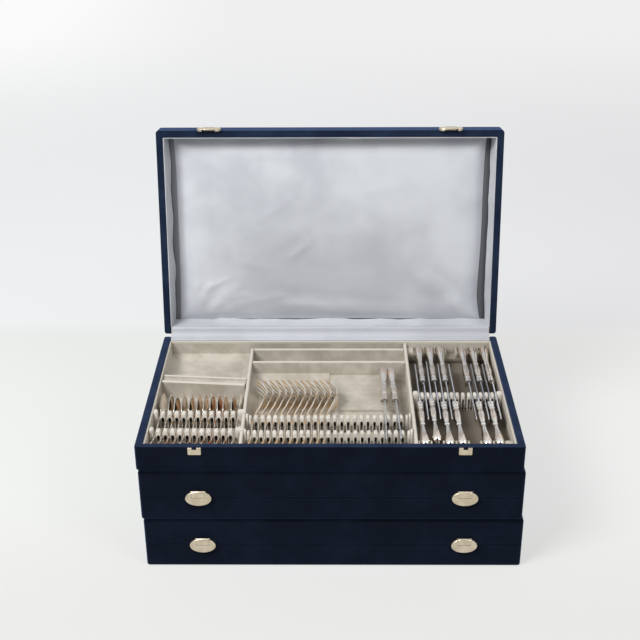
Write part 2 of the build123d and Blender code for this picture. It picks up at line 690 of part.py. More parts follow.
def knife(length, handle_l, handle_t, handle_h):
    """Hollow-handled knife on its edge: butt at Y = 0, blade towards +Y, cutting edge down."""
    half_t = handle_t / 2
    half_h = handle_h / 2
    # Along the handle: share of its length, then of its half thickness and half height
    stations = (
        (0.0, 0.35, 0.4),
        (0.03, 0.75, 0.8),
        (0.12, 1.0, 1.0),
        (0.3, 0.94, 0.88),
        (0.58, 0.72, 0.62),
        (0.8, 0.96, 0.76),
        (0.94, 1.0, 0.76),
        (1.0, 0.9, 0.66),
    )
    blade_foot = handle_l - BLADE_T
    with BuildPart() as piece:
        for along, thick, high in stations:
            with BuildSketch(Plane((0, handle_l * along, 0), x_dir=(1, 0, 0), z_dir=(0, 1, 0))):
                Ellipse(half_t * thick, half_h * high)
        loft()
        with BuildSketch(Plane.YZ):
            with BuildLine():
                Polyline(
                    (blade_foot, -BLADE_H * 0.3),
                    (blade_foot, BLADE_H * 0.3),
                    (handle_l + BLADE_H * 0.6, BLADE_H / 2),
                    (length - BLADE_H * 0.05, BLADE_H / 2),
                )
                cutting_edge = Polyline(
                    (blade_foot, -BLADE_H * 0.3),
                    (handle_l + BLADE_H * 0.8, -BLADE_H / 2),
                    (length - BLADE_H * 0.9, -BLADE_H / 2),
                )
                TangentArc(
                    cutting_edge @ 1, (length - BLADE_H * 0.05, BLADE_H / 2), tangent=cutting_edge % 1
                )
            make_face()
        extrude(amount=BLADE_T / 2, both=True)
    return piece.part


with BuildPart() as teaspoons:
    for x in SPOON_SLOTS[:SPOON_COUNT]:
        with Locations((x, SILVER_FRONT_Y, SPOON_Z)):
            add(spoon.part)

with BuildPart() as forks:
    for x in FORK_SLOTS[:FORK_COUNT]:
        with Locations((x, SILVER_FRONT_Y, FORK_Z)):
            add(fork.part)

long_knife = knife(KNIFE_L, KNIFE_HANDLE_L, KNIFE_HANDLE_T, KNIFE_HANDLE_H)
with BuildPart() as knives:
    rear_knives = [x for k, x in enumerate(REAR_KNIFE_X) if k != 3]
    front_knives = [x for k, x in enumerate(FRONT_KNIFE_X) if k != 4]
    with Locations(*[(x, -INNER_Y + FRONT_BUTT_GAP, KNIFE_Z) for x in front_knives]):
        add(long_knife)
    with Locations(*[Location((x, INNER_Y - KNIFE_BUTT_GAP, KNIFE_Z), (0, 0, 180)) for x in rear_knives]):
        add(long_knife)

small_knife = knife(SMALL_KNIFE_L, SMALL_KNIFE_HANDLE_L, SMALL_KNIFE_HANDLE_T, SMALL_KNIFE_HANDLE_H)
with BuildPart() as small_knives:
    # Their blades sit in two slots of both fork combs, and their butts lean together
    pivot_y = -INNER_Y + (FORK_COMB_Y[0] + FORK_COMB_Y[1] + COMB_D) / 2
    butt_y = FORK_BAY_Y - SLOPE_W
    drift = (butt_y - pivot_y) * sin(radians(SMALL_KNIFE_TURN))
    for slot, lean in zip(SMALL_KNIFE_SLOTS, (1, -1)):
        place = (FORK_SLOTS[slot] + lean * drift, butt_y, KNIFE_Z)
        with Locations(Location(place, (0, 0, 180 - lean * SMALL_KNIFE_TURN))):
            add(small_knife)

# ---------------------------------------------------------------- lower cases' inserts
LOWER_DIVIDER_X = -INNER_X + LOWER_LEFT_ZONE_W + PARTITION_T / 2
LOWER_RIGHT_W = 2 * INNER_X - LOWER_LEFT_ZONE_W - PARTITION_T
LOWER_LEFT_X = -INNER_X + LOWER_LEFT_ZONE_W / 2
LOWER_RIGHT_X = INNER_X - LOWER_RIGHT_W / 2

with BuildPart() as lower_tray:
    add(tray_box.part)
    add(
        partition(
            LOWER_DIVIDER_X - PARTITION_T / 2,
            LOWER_DIVIDER_X + PARTITION_T / 2,
            -INNER_Y - TRAY_WALL / 2,
            INNER_Y + TRAY_WALL / 2,
        )
    )

with BuildPart() as lower_combs:
    for y in LOWER_COMB_Y:
        for x, width in ((LOWER_LEFT_X, LOWER_LEFT_ZONE_W), (LOWER_RIGHT_X, LOWER_RIGHT_W)):
            add(comb(slot_places(x, width, LOWER_PITCH), x, width, -INNER_Y + y))

# ---------------------------------------------------------------- placing and writing
STACK_STEP = CASE_H + STACK_GAP
HINGE_LINE = Location((0, HINGE_Y, HINGE_Z))
LID_SWING = HINGE_LINE * Location((0, 0, 0), (-LID_OPEN_ANGLE, 0, 0)) * HINGE_LINE.inverse()

CASES = {
    "bottom": (Location((0, 0, 0)), Location()),
    "middle": (Location((*MIDDLE_SHIFT, STACK_STEP)), Location()),
    "top": (Location((*TOP_SHIFT, 2 * STACK_STEP)), LID_SWING),
}
BASE_PIECES = {
    "base_shell": base_shell.part,
    "hinge_base_leaf": hinge_base_leaf,
    "hinge_pin": hinge_pin.part,
    "gusset_lower": gusset_lower,
    "catch_plates": catch_plates.part,
}
LID_PIECES = {
    "lid_shell": lid_shell.part,
    "lid_lining": lid_lining.part,
    "lid_pad": lid_pad.part,
    "hinge_lid_leaf": hinge_lid_leaf,
    "gusset_upper": gusset_upper,
    "latch_leaves": latch_leaves.part,
    "latch_pins": latch_pins.part,
    "latch_flap_left": flap_left,
    "latch_flap_right": flap_right,
}
TOP_INSERT = {
    "insert_tray": top_tray.part,
    "left_divider": left_divider,
    "right_divider": right_divider,
    "rear_bars": rear_bars.part,
    "platform": platform.part,
    "cross_rail": cross_rail.part,
    "spoon_combs": spoon_combs.part,
    "fork_combs": fork_combs.part,
    "knife_comb": knife_comb,
    "knife_rests": knife_rests.part,
    "teaspoons": teaspoons.part,
    "forks": forks.part,
    "knives": knives.part,
    "small_knives": small_knives.part,
}

for case, (case_place, lid_turn) in CASES.items():
    for piece, part in BASE_PIECES.items():
        write_node(f"{case}_{piece}", part, case_place)
    for piece, part in LID_PIECES.items():
        write_node(f"{case}_{piece}", part, case_place * lid_turn)

for piece, part in TOP_INSERT.items():
    write_node(piece, part, CASES["top"][0])

for case in ("bottom", "middle"):
    write_node(f"{case}_insert_tray", lower_tray.part, CASES[case][0])
    write_node(f"{case}_combs", lower_combs.part, CASES[case][0])
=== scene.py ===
"""Silverware chest: the looks of three stacked velvet cases, the top one open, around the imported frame.

Shapes are drawn in millimetres on a closed case that stands on Z = 0 with its front towards -Y, as
the frame's solids are, and are then placed in the bottom, middle and top case.
"""

import json
import math
import random

import bmesh
import bpy
import numpy as np
from mathutils import Euler, Matrix, Vector, noise


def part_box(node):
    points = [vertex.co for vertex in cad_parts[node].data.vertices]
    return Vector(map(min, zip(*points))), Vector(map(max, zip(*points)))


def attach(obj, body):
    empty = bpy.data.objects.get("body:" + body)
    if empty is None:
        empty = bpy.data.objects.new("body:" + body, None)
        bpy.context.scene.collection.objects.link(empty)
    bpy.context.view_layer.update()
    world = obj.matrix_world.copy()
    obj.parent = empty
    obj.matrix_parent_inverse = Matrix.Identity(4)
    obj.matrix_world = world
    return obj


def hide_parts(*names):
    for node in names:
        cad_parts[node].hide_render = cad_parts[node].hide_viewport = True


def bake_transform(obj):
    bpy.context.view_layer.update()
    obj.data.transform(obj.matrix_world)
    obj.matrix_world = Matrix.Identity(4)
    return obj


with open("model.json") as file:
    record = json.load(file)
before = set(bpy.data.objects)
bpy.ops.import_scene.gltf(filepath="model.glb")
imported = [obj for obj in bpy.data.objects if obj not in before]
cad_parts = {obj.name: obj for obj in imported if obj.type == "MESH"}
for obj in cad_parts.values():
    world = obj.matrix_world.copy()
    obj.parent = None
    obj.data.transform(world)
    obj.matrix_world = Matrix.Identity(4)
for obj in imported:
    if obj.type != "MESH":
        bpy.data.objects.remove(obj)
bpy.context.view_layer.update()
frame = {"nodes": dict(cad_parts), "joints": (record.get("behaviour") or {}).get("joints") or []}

MM = 0.001
CLOSED_CASES = ("bottom", "middle")
CASES = (*CLOSED_CASES, "top")
JOINTS = {joint["name"]: joint for joint in frame["joints"]}

# The closed case, in millimetres: X and Y from its middle, Z from its underside
LID_RIM_Z, CEILING_Z = 38.9, 71.0
LINING_X, LINING_Y = 249.1, 148.1
INNER_X, INNER_Y = 247.7, 146.7
TRAY_FLOOR_Z = 6.5
# The top case's tray: a left and a right zone, each with a partition beside the middle zone
PARTITION_T = 5.0
LEFT_ZONE_W, RIGHT_ZONE_W = 125.0, 128.7
LEFT_ZONE_END = -INNER_X + LEFT_ZONE_W
RIGHT_ZONE_START = INNER_X - RIGHT_ZONE_W
MIDDLE_LEFT = LEFT_ZONE_END + PARTITION_T
MIDDLE_RIGHT = RIGHT_ZONE_START - PARTITION_T
# Room left at each end of a comb or a knife rest
PLAY = 0.3


# -------------------- places
def case_place(case):
    """Where a closed case's own drawing stands in the stack."""
    low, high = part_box(f"{case}_base_shell")
    return Matrix.Translation(((low.x + high.x) / 2, (low.y + high.y) / 2, low.z))


def lid_place(case):
    """The same for a piece of the lid, which leans back on its hinge in the top case."""
    hinge = JOINTS[f"{case}_lid_hinge"]
    pin = Matrix.Translation(hinge["pos_m"])
    opened = math.radians(-hinge["range_deg"][0])
    return pin @ Matrix.Rotation(opened, 4, Vector(hinge["axis"])) @ pin.inverted() @ case_place(case)


# -------------------- mesh shapes
def skin(rings, loop=False):
    """Closed rings of points joined by faces: capped at both ends, or back to the first ring."""
    rings = np.asarray(rings, float)
    count, around = rings.shape[:2]
    faces = []
    for k in range(count if loop else count - 1):
        this, after = k * around, (k + 1) % count * around
        for j in range(around):
            beside = (j + 1) % around
            faces.append((this + j, this + beside, after + beside, after + j))
    if not loop:
        faces.append(tuple(range(around)))
        faces.append(tuple((count - 1) * around + j for j in range(around)))
    return rings.reshape(-1, 3), faces


def joined(shapes):
    """Several shapes, each its points and faces, as one."""
    points, faces, start = [], [], 0
    for shape_points, shape_faces in shapes:
        points.append(shape_points)
        faces += [tuple(start + k for k in face) for face in shape_faces]
        start += len(shape_points)
    return np.concatenate(points), faces


def smooth(stations, along):
    """Values at the places along, on a smooth curve through stations of (place, value, ...)."""
    table = np.array(stations, float)
    place, value = table[:, 0], table[:, 1:]
    slope = np.gradient(value, place, axis=0)
    k = np.clip(np.searchsorted(place, along) - 1, 0, len(place) - 2)
    span = (place[k + 1] - place[k])[:, None]
    t = (along - place[k])[:, None] / span
    return (
        (2 * t**3 - 3 * t**2 + 1) * value[k]
        + (t**3 - 2 * t**2 + t) * span * slope[k]
        + (3 * t**2 - 2 * t**3) * value[k + 1]
        + (t**3 - t**2) * span * slope[k + 1]
    )


def mesh_of(name, shape, finish, sharp=35, relief=None):
    """A mesh in metres of a shape in millimetres, smooth but for edges sharper than that angle."""
    points, faces = shape
    mesh = bpy.data.meshes.new(name)
    mesh.from_pydata((np.asarray(points) * MM).tolist(), [], faces)
    shell = bmesh.new()
    shell.from_mesh(mesh)
    bmesh.ops.recalc_face_normals(shell, faces=shell.faces)
    shell.to_mesh(mesh)
    shell.free()
    mesh.shade_smooth()
    mesh.set_sharp_from_angle(angle=math.radians(sharp))
    if relief is not None:
        mesh.attributes.new("relief", "FLOAT", "POINT").data.foreach_set("value", relief)
    mesh.materials.append(finish)
    return mesh


def placed(name, data, place=Matrix.Identity(4)):
    """A new object in the scene: a mesh, a lamp or a camera."""
    thing = bpy.data.objects.new(name, data)
    bpy.context.scene.collection.objects.link(thing)
    thing.matrix_world = place
    return thing


def piece(name, mesh, body, place):
    """An object of the chest that rides on one body."""
    thing = placed(name, mesh, place)
    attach(thing, body)
    return thing


# -------------------- shader nodes
class Wire:
    """A socket in a node tree: arithmetic on it adds Math nodes, and node() adds any other node."""

    def __init__(self, tree, socket=None):
        self.tree = tree
        self.socket = socket

    def node(self, kind, settings, inputs, output=0):
        """A new node by its type, its settings, its inputs' values or wires, and the output to use."""
        made = self.tree.nodes.new("ShaderNode" + kind)
        for name, value in settings.items():
            setattr(made, name, value)
        for name, value in inputs.items():
            if isinstance(value, Wire):
                self.tree.links.new(value.socket, made.inputs[name])
            else:
                made.inputs[name].default_value = value
        return Wire(self.tree, made.outputs[output] if made.outputs else None)

    def maths(self, operation, *values):
        """A Math node on wires or numbers."""
        return self.node("Math", {"operation": operation}, dict(enumerate(values)))

    def __add__(self, other):
        return self.maths("ADD", self, other)

    def __sub__(self, other):
        return self.maths("SUBTRACT", self, other)

    def __rsub__(self, other):
        return self.maths("SUBTRACT", other, self)

    def __mul__(self, other):
        return self.maths("MULTIPLY", self, other)

    def __abs__(self):
        return self.maths("ABSOLUTE", self)

    __radd__ = __add__
    __rmul__ = __mul__

    def within(self, low, high):
        """0 below low, 1 above high, and smooth between them."""
        return self.node(
            "MapRange",
            {"interpolation_type": "SMOOTHSTEP"},
            {"Value": self, "From Min": low, "From Max": high},
        )

    def between(self, first, second):
        """A colour between two, by this factor."""
        return self.node("Mix", {"data_type": "RGBA"}, {0: self, 6: first, 7: second}, output=2)

    def place(self, axis):
        """The place on the piece along X, Y or Z, in metres of its own coordinates."""
        point = self.node("TexCoord", {}, {}, output="Object")
        return self.node("SeparateXYZ", {}, {"Vector": point}, output=axis)

    def speckle(self, scale, detail=3.0, roughness=0.55, stretch=(1, 1, 1)):
        """Noise over the piece, in its own coordinates."""
        point = self.node("TexCoord", {}, {}, output="Object")
        point = self.node("Mapping", {}, {"Vector": point, "Scale": stretch})
        return self.node(
            "TexNoise", {}, {"Vector": point, "Scale": scale, "Detail": detail, "Roughness": roughness}
        )

    def bump(self, depth, strength=1.0):
        """A normal that follows this height."""
        return self.node("Bump", {}, {"Height": self, "Distance": depth, "Strength": strength})


def rgba(red, green, blue):
    """A colour as a screen shows it, 0 to 255, as the shader takes it."""
    shares = (level / 255 for level in (red, green, blue))
    return (*(v / 12.92 if v <= 0.04045 else ((v + 0.055) / 1.055) ** 2.4 for v in shares), 1)


def new_finish(name):
    """An empty material and a bench to make its nodes on."""
    material = bpy.data.materials.new(name)
    material.use_nodes = True
    material.node_tree.nodes.clear()
    return material, Wire(material.node_tree)


def lay_on(bench, sockets):
    """Ends a material with one shader that has these socket values."""
    shader = bench.node("BsdfPrincipled", {}, sockets)
    bench.node("OutputMaterial", {}, {"Surface": shader})


# -------------------- finishes
def velvet_finish(name, rim):
    """Dark navy velvet: a short nap, brushed into cloudy patches, with painted sheen: paler on the rim.
    """
    material, bench = new_finish(name)
    clouds = bench.speckle(20, roughness=0.5)
    strokes = bench.speckle(70, stretch=(1, 1, 0.7))
    nap = bench.speckle(1400, detail=2)
    tone = (clouds * 0.65 + strokes * 0.35).within(0.38, 0.7)
    normal = bench.node("TexCoord", {}, {}, output="Normal")
    facing = bench.node(
        "VectorMath", {"operation": "DOT_PRODUCT"}, {0: normal, 1: tuple(rim)}, output="Value"
    )
    on_walls = tone.between(rgba(2, 4, 9), rgba(8, 13, 24))
    # Painted sheen: faces that point the rim's way get a paler colour, as sheen and light fall on them
    # there.
    painted_sheen_rim = tone.between(rgba(22, 31, 49), rgba(35, 45, 66))
    lay_on(
        bench,
        {
            "Base Color": facing.within(0.8, 0.95).between(on_walls, painted_sheen_rim),
            "Roughness": 0.95,
            "Specular IOR Level": 0.06,
            "Sheen Weight": 0.95,
            "Sheen Roughness": 0.42,
            "Sheen Tint": rgba(100, 126, 176),
            "Normal": (nap + clouds * 2.0).bump(0.0003, 0.6),
        },
    )
    return material


def satin_finish(name, thin, full):
    """Pale silver-grey satin with a soft gloss, and painted shade that greys it in the middle and towards
    the hinge.
    """
    material, bench = new_finish(name)
    wide = bench.speckle(9)
    slub = bench.speckle(900, detail=2, stretch=(0.25, 1, 1))
    # Painted shade: the pad's middle and the part towards the hinge lie in the lid's own shade.
    mid_width = 1 - abs(bench.place("X")).within(0.05, 0.19)
    depth = bench.place("Y")
    painted_pad_shade = mid_width * depth.within(-0.11, 0.11) * (1 - depth.within(0.135, 0.147))
    colour = wide.within(0.35, 0.65).between(rgba(*thin), rgba(*full))
    lay_on(
        bench,
        {
            "Base Color": (painted_pad_shade * 0.6).between(colour, rgba(172, 175, 180)),
            "Roughness": wide * 0.16 + 0.36,
            "Specular IOR Level": 0.45,
            "Sheen Weight": 0.12,
            "Sheen Roughness": 0.3,
            "Normal": slub.bump(0.00006),
        },
    )
    return material


def shade_card_finish():
    """Grey card under the satin, seen in the gap beside the pad: its dark grey is painted shade, darker
    still at the wall and on the right.
    """
    material, bench = new_finish("shade_card")
    grain = bench.speckle(160, detail=4)
    across = bench.place("X")
    # Painted shade: darker towards the wall and on the right side of the gap.
    wall = abs(across).within(0.2345, 0.2455)
    right = across.within(-0.05, 0.05)
    shade_by_pad = right.between(rgba(150, 152, 157), rgba(106, 108, 112))
    deep_shade_by_wall = right.between(rgba(118, 120, 124), rgba(68, 70, 74))
    lay_on(
        bench,
        {
            "Base Color": (wall * 0.9 + grain * 0.1).between(shade_by_pad, deep_shade_by_wall),
            "Roughness": 0.85,
            "Normal": grain.bump(0.0002),
        },
    )
    return material


def flock_finish(name, floor_z, knife_shade_share):
    """Warm grey flock, with a painted highlight on its upper edges and painted shade low down under the
    knives.
    """
    material, bench = new_finish(name)
    rubbed = bench.speckle(22, detail=4, roughness=0.6)
    fibres = bench.speckle(1300, detail=2)
    tone = (rubbed * 0.75 + bench.speckle(90) * 0.25).within(0.35, 0.68)
    height = bench.place("Z") - floor_z
    # Painted shade: low down under the knives the flock darkens, where shade falls between the blades.
    under_knives = bench.place("X").within(0.112, 0.122)
    painted_knife_shade = (1 - height.within(0.0, 0.016)) * under_knives * knife_shade_share
    unshaded_flock = tone.between(rgba(168, 161, 149), rgba(192, 186, 175))
    colour = painted_knife_shade.between(unshaded_flock, rgba(112, 104, 93))
    # Painted highlight: the upper edges, about 25 mm above the floor, are paler.
    painted_edge_highlight = height.within(0.0242, 0.0258)
    lay_on(
        bench,
        {
            "Base Color": painted_edge_highlight.between(colour, rgba(201, 195, 185)),
            "Roughness": 0.95,
            "Specular IOR Level": 0.15,
            "Sheen Weight": 0.3,
            "Sheen Roughness": 0.5,
            "Sheen Tint": rgba(255, 246, 230),
            "Normal": (fibres + rubbed).bump(0.00025, 0.8),
        },
    )
    return material


def comb_finish():
    """Cream moulding with a thin flocked skin, and painted shade that darkens it down in its pockets."""
    material, bench = new_finish("cream_comb")
    flocked = bench.speckle(60).within(0.3, 0.7).between(rgba(196, 190, 180), rgba(214, 208, 199))
    # Painted shade in the pockets, by the mark on each point.
    painted_pocket_shade = 1 - bench.node("Attribute", {"attribute_name": "relief"}, {}, output="Fac")
    lay_on(
        bench,
        {
            "Base Color": painted_pocket_shade.within(0.1, 0.7).between(flocked, rgba(80, 71, 62)),
            "Roughness": 0.75,
            "Specular IOR Level": 0.3,
            "Normal": bench.speckle(900, detail=2).bump(0.00015, 0.6),
        },
    )
    return material


def nickel_finish():
    """Champagne nickel plate with a fine brushed grain."""
    material, bench = new_finish("champagne_nickel")
    grain = bench.speckle(700, stretch=(0.12, 1, 1))
    wear = bench.speckle(120).within(0.35, 0.7)
    lay_on(
        bench,
        {
            "Base Color": wear.between(rgba(204, 190, 165), rgba(219, 208, 186)),
            "Metallic": 1.0,
            "Roughness": grain * 0.16 + 0.3,
            "Normal": grain.bump(0.00004),
        },
    )
    return material


def brass_finish():
    """Rolled brass of the piano hinge, dulled."""
    material, bench = new_finish("dull_brass")
    dulled = bench.speckle(240, detail=4).within(0.35, 0.7)
    lay_on(
        bench,
        {
            "Base Color": dulled.between(rgba(186, 158, 108), rgba(214, 192, 146)),
            "Metallic": 1.0,
            "Roughness": dulled * 0.2 + 0.32,
            "Normal": dulled.bump(0.00005),
        },
    )
    return material


def silver_finish(name, warmth, toned=(216, 168, 118), dull=0.12):
    """Polished silver, darker in the hollows of its relief, with warm tarnish in places, which on the
    forks is painted warm reflection.
    """
    material, bench = new_finish(name)
    relief = bench.node("Attribute", {"attribute_name": "relief"}, {}, output="Fac")
    hollow = (0.5 - relief).within(0.05, 0.5)
    tarnish_and_painted_reflection = bench.speckle(70, detail=4).within(0.46, 0.64) * warmth
    bright = tarnish_and_painted_reflection.between(rgba(240, 236, 230), rgba(*toned))
    lay_on(
        bench,
        {
            "Base Color": (hollow * 0.7).between(bright, rgba(112, 98, 84)),
            "Metallic": 1.0,
            "Roughness": hollow * 0.2 + dull,
            "Normal": bench.speckle(500).bump(0.00003),
        },
    )
    return material


def steel_finish():
    """Polished blade steel with fine lengthwise scratches."""
    material, bench = new_finish("blade_steel")
    scratches = bench.speckle(900, stretch=(1, 0.06, 1))
    lay_on(
        bench,
        {
            "Base Color": scratches.between(rgba(214, 216, 220), rgba(232, 233, 235)),
            "Metallic": 1.0,
            "Roughness": scratches * 0.14 + 0.14,
            "Normal": scratches.bump(0.00002),
        },
    )
    return material


DOWN = Vector((0, 0, -1))
# Each velvet's painted sheen lies on faces pointing this way: up on the base, down on a closed lid, and
# down on the open lid as it leans.
VELVET = velvet_finish("navy_velvet", -DOWN)
LID_VELVET = velvet_finish("lid_velvet", DOWN)
OPEN_LID_VELVET = velvet_finish("open_lid_velvet", lid_place("top").to_3x3() @ DOWN)
SATIN = satin_finish("grey_satin", (182, 185, 191), (200, 203, 208))
# The gusset's satin is a darker copy of the satin: painted shade on the strip's flat part over the rim.
SHADED_GUSSET_SATIN = satin_finish("shaded_gusset_satin", (178, 181, 187), (188, 191, 197))
SHADE_CARD = shade_card_finish()
FLOCK = flock_finish("warm_flock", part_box("top_base_shell")[0].z + TRAY_FLOOR_Z * MM, 1.0)
# The rests have the closed case's own coordinates, and the tray has the stack's
REST_FLOCK = flock_finish("rest_flock", TRAY_FLOOR_Z * MM, 1.0)
COMB = comb_finish()
NICKEL = nickel_finish()
BRASS = brass_finish()
WARM_SILVER = silver_finish("warm_silver", 1.0)
SPOON_SILVER = silver_finish("spoon_silver", 0.7)
# The forks' paler warm tones, here and in FORK_SILVER, are painted warm reflection.
PALE_FORK_SILVER = silver_finish("pale_fork_silver", 0.8, (236, 204, 160), 0.32)
SILVER = silver_finish("table_silver", 0.35)
TONED_SILVER = silver_finish("toned_silver", 1.0, (208, 112, 48))
# Painted warm reflection on the forks' sides.
FORK_SILVER = silver_finish("fork_silver", 1.0, (246, 218, 172), 0.42)
STEEL = steel_finish()


# -------------------- camera, light and stage
# The camera as it was fitted to the photograph, in metres and degrees, but its turn in radians
LENS_MM = 65.128
CAMERA_AT = (-0.0018275, -1.446264, 1.032783)
CAMERA_TURN = 0.0114531
CAMERA_DIP, CAMERA_ROLL = 26.7605, -0.33142
CAMERA_REACH = 50
# Square softboxes: name, place, side and power
LAMPS = (
    ("key_softbox", (-1.35, -1.2, 2.15), 1.1, 64),
    ("right_softbox", (1.6, -1.5, 1.9), 1.0, 20),
)
LAMPS_AIM = Vector((0, 0, 0.2))


def camera_and_light():
    """The photograph's view, lit from above on both sides of the camera."""
    turn = Matrix.Rotation(CAMERA_TURN, 4, "Z")
    tilt = Matrix.Rotation(math.radians(90 - CAMERA_DIP), 4, "X")
    roll = Matrix.Rotation(math.radians(CAMERA_ROLL), 4, "Z")
    stand = Matrix.Translation(CAMERA_AT) @ turn @ tilt @ roll
    camera = placed("camera", bpy.data.cameras.new("camera"), stand)
    camera.data.lens = LENS_MM
    camera.data.clip_end = CAMERA_REACH
    bpy.context.scene.camera = camera

    for name, place, side, power in LAMPS:
        turned = (LAMPS_AIM - Vector(place)).to_track_quat("-Z", "Y").to_matrix().to_4x4()
        lamp = placed(name, bpy.data.lights.new(name, "AREA"), Matrix.Translation(place) @ turned)
        lamp.data.shape = "SQUARE"
        lamp.data.size = side
        lamp.data.energy = power


def seen_directly(bench):
    """1 where the camera, a reflection or glass sees the surface, 0 where it only lights others."""
    rays = ("Camera", "Glossy", "Transmission")
    camera, glossy, through = (bench.node("LightPath", {}, {}, output=f"Is {ray} Ray") for ray in rays)
    return bench.maths("MAXIMUM", bench.maths("MAXIMUM", camera, glossy), through)


def sky():
    """A pale even sky, which lights the chest more from above."""
    world = bpy.data.worlds.new("studio")
    bpy.context.scene.world = world
    world.use_nodes = True
    world.node_tree.nodes.clear()
    bench = Wire(world.node_tree)
    way = bench.node("TexCoord", {}, {}, output="Generated")
    rise = bench.node("SeparateXYZ", {}, {"Vector": way}, output="Z").within(-0.2, 0.9)
    lit = bench.node("Background", {}, {"Color": (1, 1, 1, 1), "Strength": rise * 0.34 + 0.16})
    shown = bench.node("Background", {}, {"Color": rgba(238, 239, 240), "Strength": 1.0})
    mixed = bench.node("MixShader", {}, {0: seen_directly(bench), 1: lit, 2: shown})
    bench.node("OutputWorld", {}, {"Surface": mixed})


def paper_finish():
    """White paper: greyer in front of the chest, and a pale drape behind it that glows when seen."""
    material, bench = new_finish("paper_floor")
    across, back = bench.place("X"), bench.place("Y")
    right = across.within(-0.7, 0.9)
    near = right.between(rgba(228, 228, 226), rgba(230, 230, 228))
    table = right.between(rgba(236, 238, 236), rgba(240, 240, 239))
    drape = right.between(rgba(241, 243, 244), rgba(236, 236, 238))
    farthest = across.within(-1.3, -0.3).between(rgba(255, 255, 255), rgba(243, 243, 244))
    distance = back.within(1.2, 3.2)
    far = distance.between(drape, farthest)
    paper = back.within(0.53, 0.60).between(back.within(-0.3, 0.05).between(near, table), far)
    grain = bench.speckle(300, detail=2).bump(0.0001)
    shaded = bench.node("BsdfPrincipled", {}, {"Base Color": paper, "Roughness": 0.9, "Normal": grain})
    bright = bench.node("Emission", {}, {"Color": paper, "Strength": 1.0})
    glow = seen_directly(bench) * (distance * 0.22 + 0.7)
    mixed = bench.node("MixShader", {}, {0: glow, 1: shaded, 2: bright})
    bench.node("OutputMaterial", {}, {"Surface": mixed})
    return material


def hanging_finish():
    """Dark cloth that hangs behind the camera, for the silver to reflect."""
    material, bench = new_finish("dark_hanging")
    cloth = bench.speckle(3).between(rgba(40, 40, 42), rgba(58, 58, 60))
    lay_on(bench, {"Base Color": cloth, "Roughness": 0.9})
    return material


def backdrop(name, corners, finish):
    """One flat face of the stage, its corners in millimetres."""
    thing = placed(name, mesh_of(name, (corners, [(0, 1, 2, 3)]), finish))
    return thing


# The stage's two faces, in millimetres, each from its middle to its corners
CORNERS = ((-1, -1), (1, -1), (1, 1), (-1, 1))
FLOOR_REACH, FLOOR_Z = 14000, -0.4
HANGING_Y, HANGING_Z = -3000, 1950
HANGING_HALF_W, HANGING_HALF_H = 3200, 1450


def studio():
    """Pale seamless floor that runs far back, an even sky and a dark hanging behind the camera."""
    bpy.context.scene.view_settings.view_transform = "Standard"
    sky()
    floor = [(FLOOR_REACH * x, FLOOR_REACH * y, FLOOR_Z) for x, y in CORNERS]
    backdrop("paper_floor", floor, paper_finish())
    cloth = [(HANGING_HALF_W * x, HANGING_Y, HANGING_Z + HANGING_HALF_H * z) for x, z in CORNERS]
    backdrop("dark_hanging", cloth, hanging_finish()).visible_camera = False


# -------------------- lid: pad, lining and gusset
PAD_X, PAD_FRONT, PAD_REAR = 238.0, -146.0, 145.5
PAD_BACK_Z = 70.7
# The crown of the pad: distance from its edge, and how far its face hangs below its back
PAD_RISE = (
    (0, 0.9),
    (3, 2.2),
    (7, 4.6),
    (13, 7.6),
    (22, 10.2),
    (40, 12.0),
    (66, 13.9),
    (105, 16.6),
    (150, 19.2),
)
# Lines of the mesh: their distances from the edge, where the evenly spaced ones start, and how many
PAD_EDGE, PAD_INNER = (0, 0.6, 2, 4.5, 8, 13, 20), 27
PAD_COLUMNS, PAD_ROWS = 120, 74
# How far the slack draws each edge in, the right one more towards the rear, and how deep that reaches
LEFT_SLACK, RIGHT_SLACK, REAR_RIGHT_SLACK, END_SLACK = 2.5, 3.0, 6.0, 2.5
SLACK_REACH = 60
# Waves of the loose satin: length and height
PAD_WAVES = ((90, 1.3), (34, 0.5), (13, 0.12))
# Slack folds of the satin: start, end, width and height
PAD_FOLDS = (
    (-210, 116, -186, 84, 8, 1.3),
    (-194, 122, -172, 92, 6, -0.9),
    (-184, 126, -146, 90, 8, 1.2),
    (-222, 104, -208, 84, 6, 1.3),
    (-160, 130, -112, 104, 10, 1.1),
    (-214, 92, -200, 98, 3.5, -0.9),
    (-198, 98, -186, 86, 3.5, 0.9),
    (-184, 86, -166, 76, 4, 1.0),
    (-180, 80, -164, 70, 4, -0.7),
    (-150, 106, -128, 99, 5, 0.9),
    (-128, 98, -106, 104, 5, -0.7),
    (-100, 108, -66, 101, 6, 1.0),
    (-66, 101, -40, 112, 5, -0.8),
    (-130, 50, -98, 56, 7, 0.8),
    (-60, 36, -44, 27, 4, 0.8),
    (-20, 112, 8, 119, 5, -0.9),
    (-122, 42, -36, -12, 13, 0.9),
    (-104, -22, -62, -52, 7, 0.8),
    (-58, 40, -30, 12, 6, 0.8),
    (-70, 98, -8, 104, 11, -1.3),
    (-60, 120, 30, 124, 10, 1.3),
    (30, 108, 96, 118, 12, -1.0),
    (10, 132, 120, 128, 9, 1.2),
    (118, 58, 158, 82, 16, 1.6),
    (158, 82, 200, 118, 15, 2.6),
    (200, 118, 230, 141, 11, 2.4),
    (176, 74, 226, 122, 12, -1.8),
    (-226, -136, -188, -104, 9, 1.6),
    (-150, -126, -60, -122, 10, 0.9),
    (196, -132, 228, -104, 9, 1.2),
    (60, -62, 96, -72, 9, 0.7),
)


def pad_lines(width, count):
    """Places of the mesh's lines from 0 to the width, closer together near both edges."""
    edge = np.array(PAD_EDGE)
    inner = np.linspace(PAD_INNER, width - PAD_INNER, count)
    return np.concatenate([edge, inner, width - edge[::-1]])


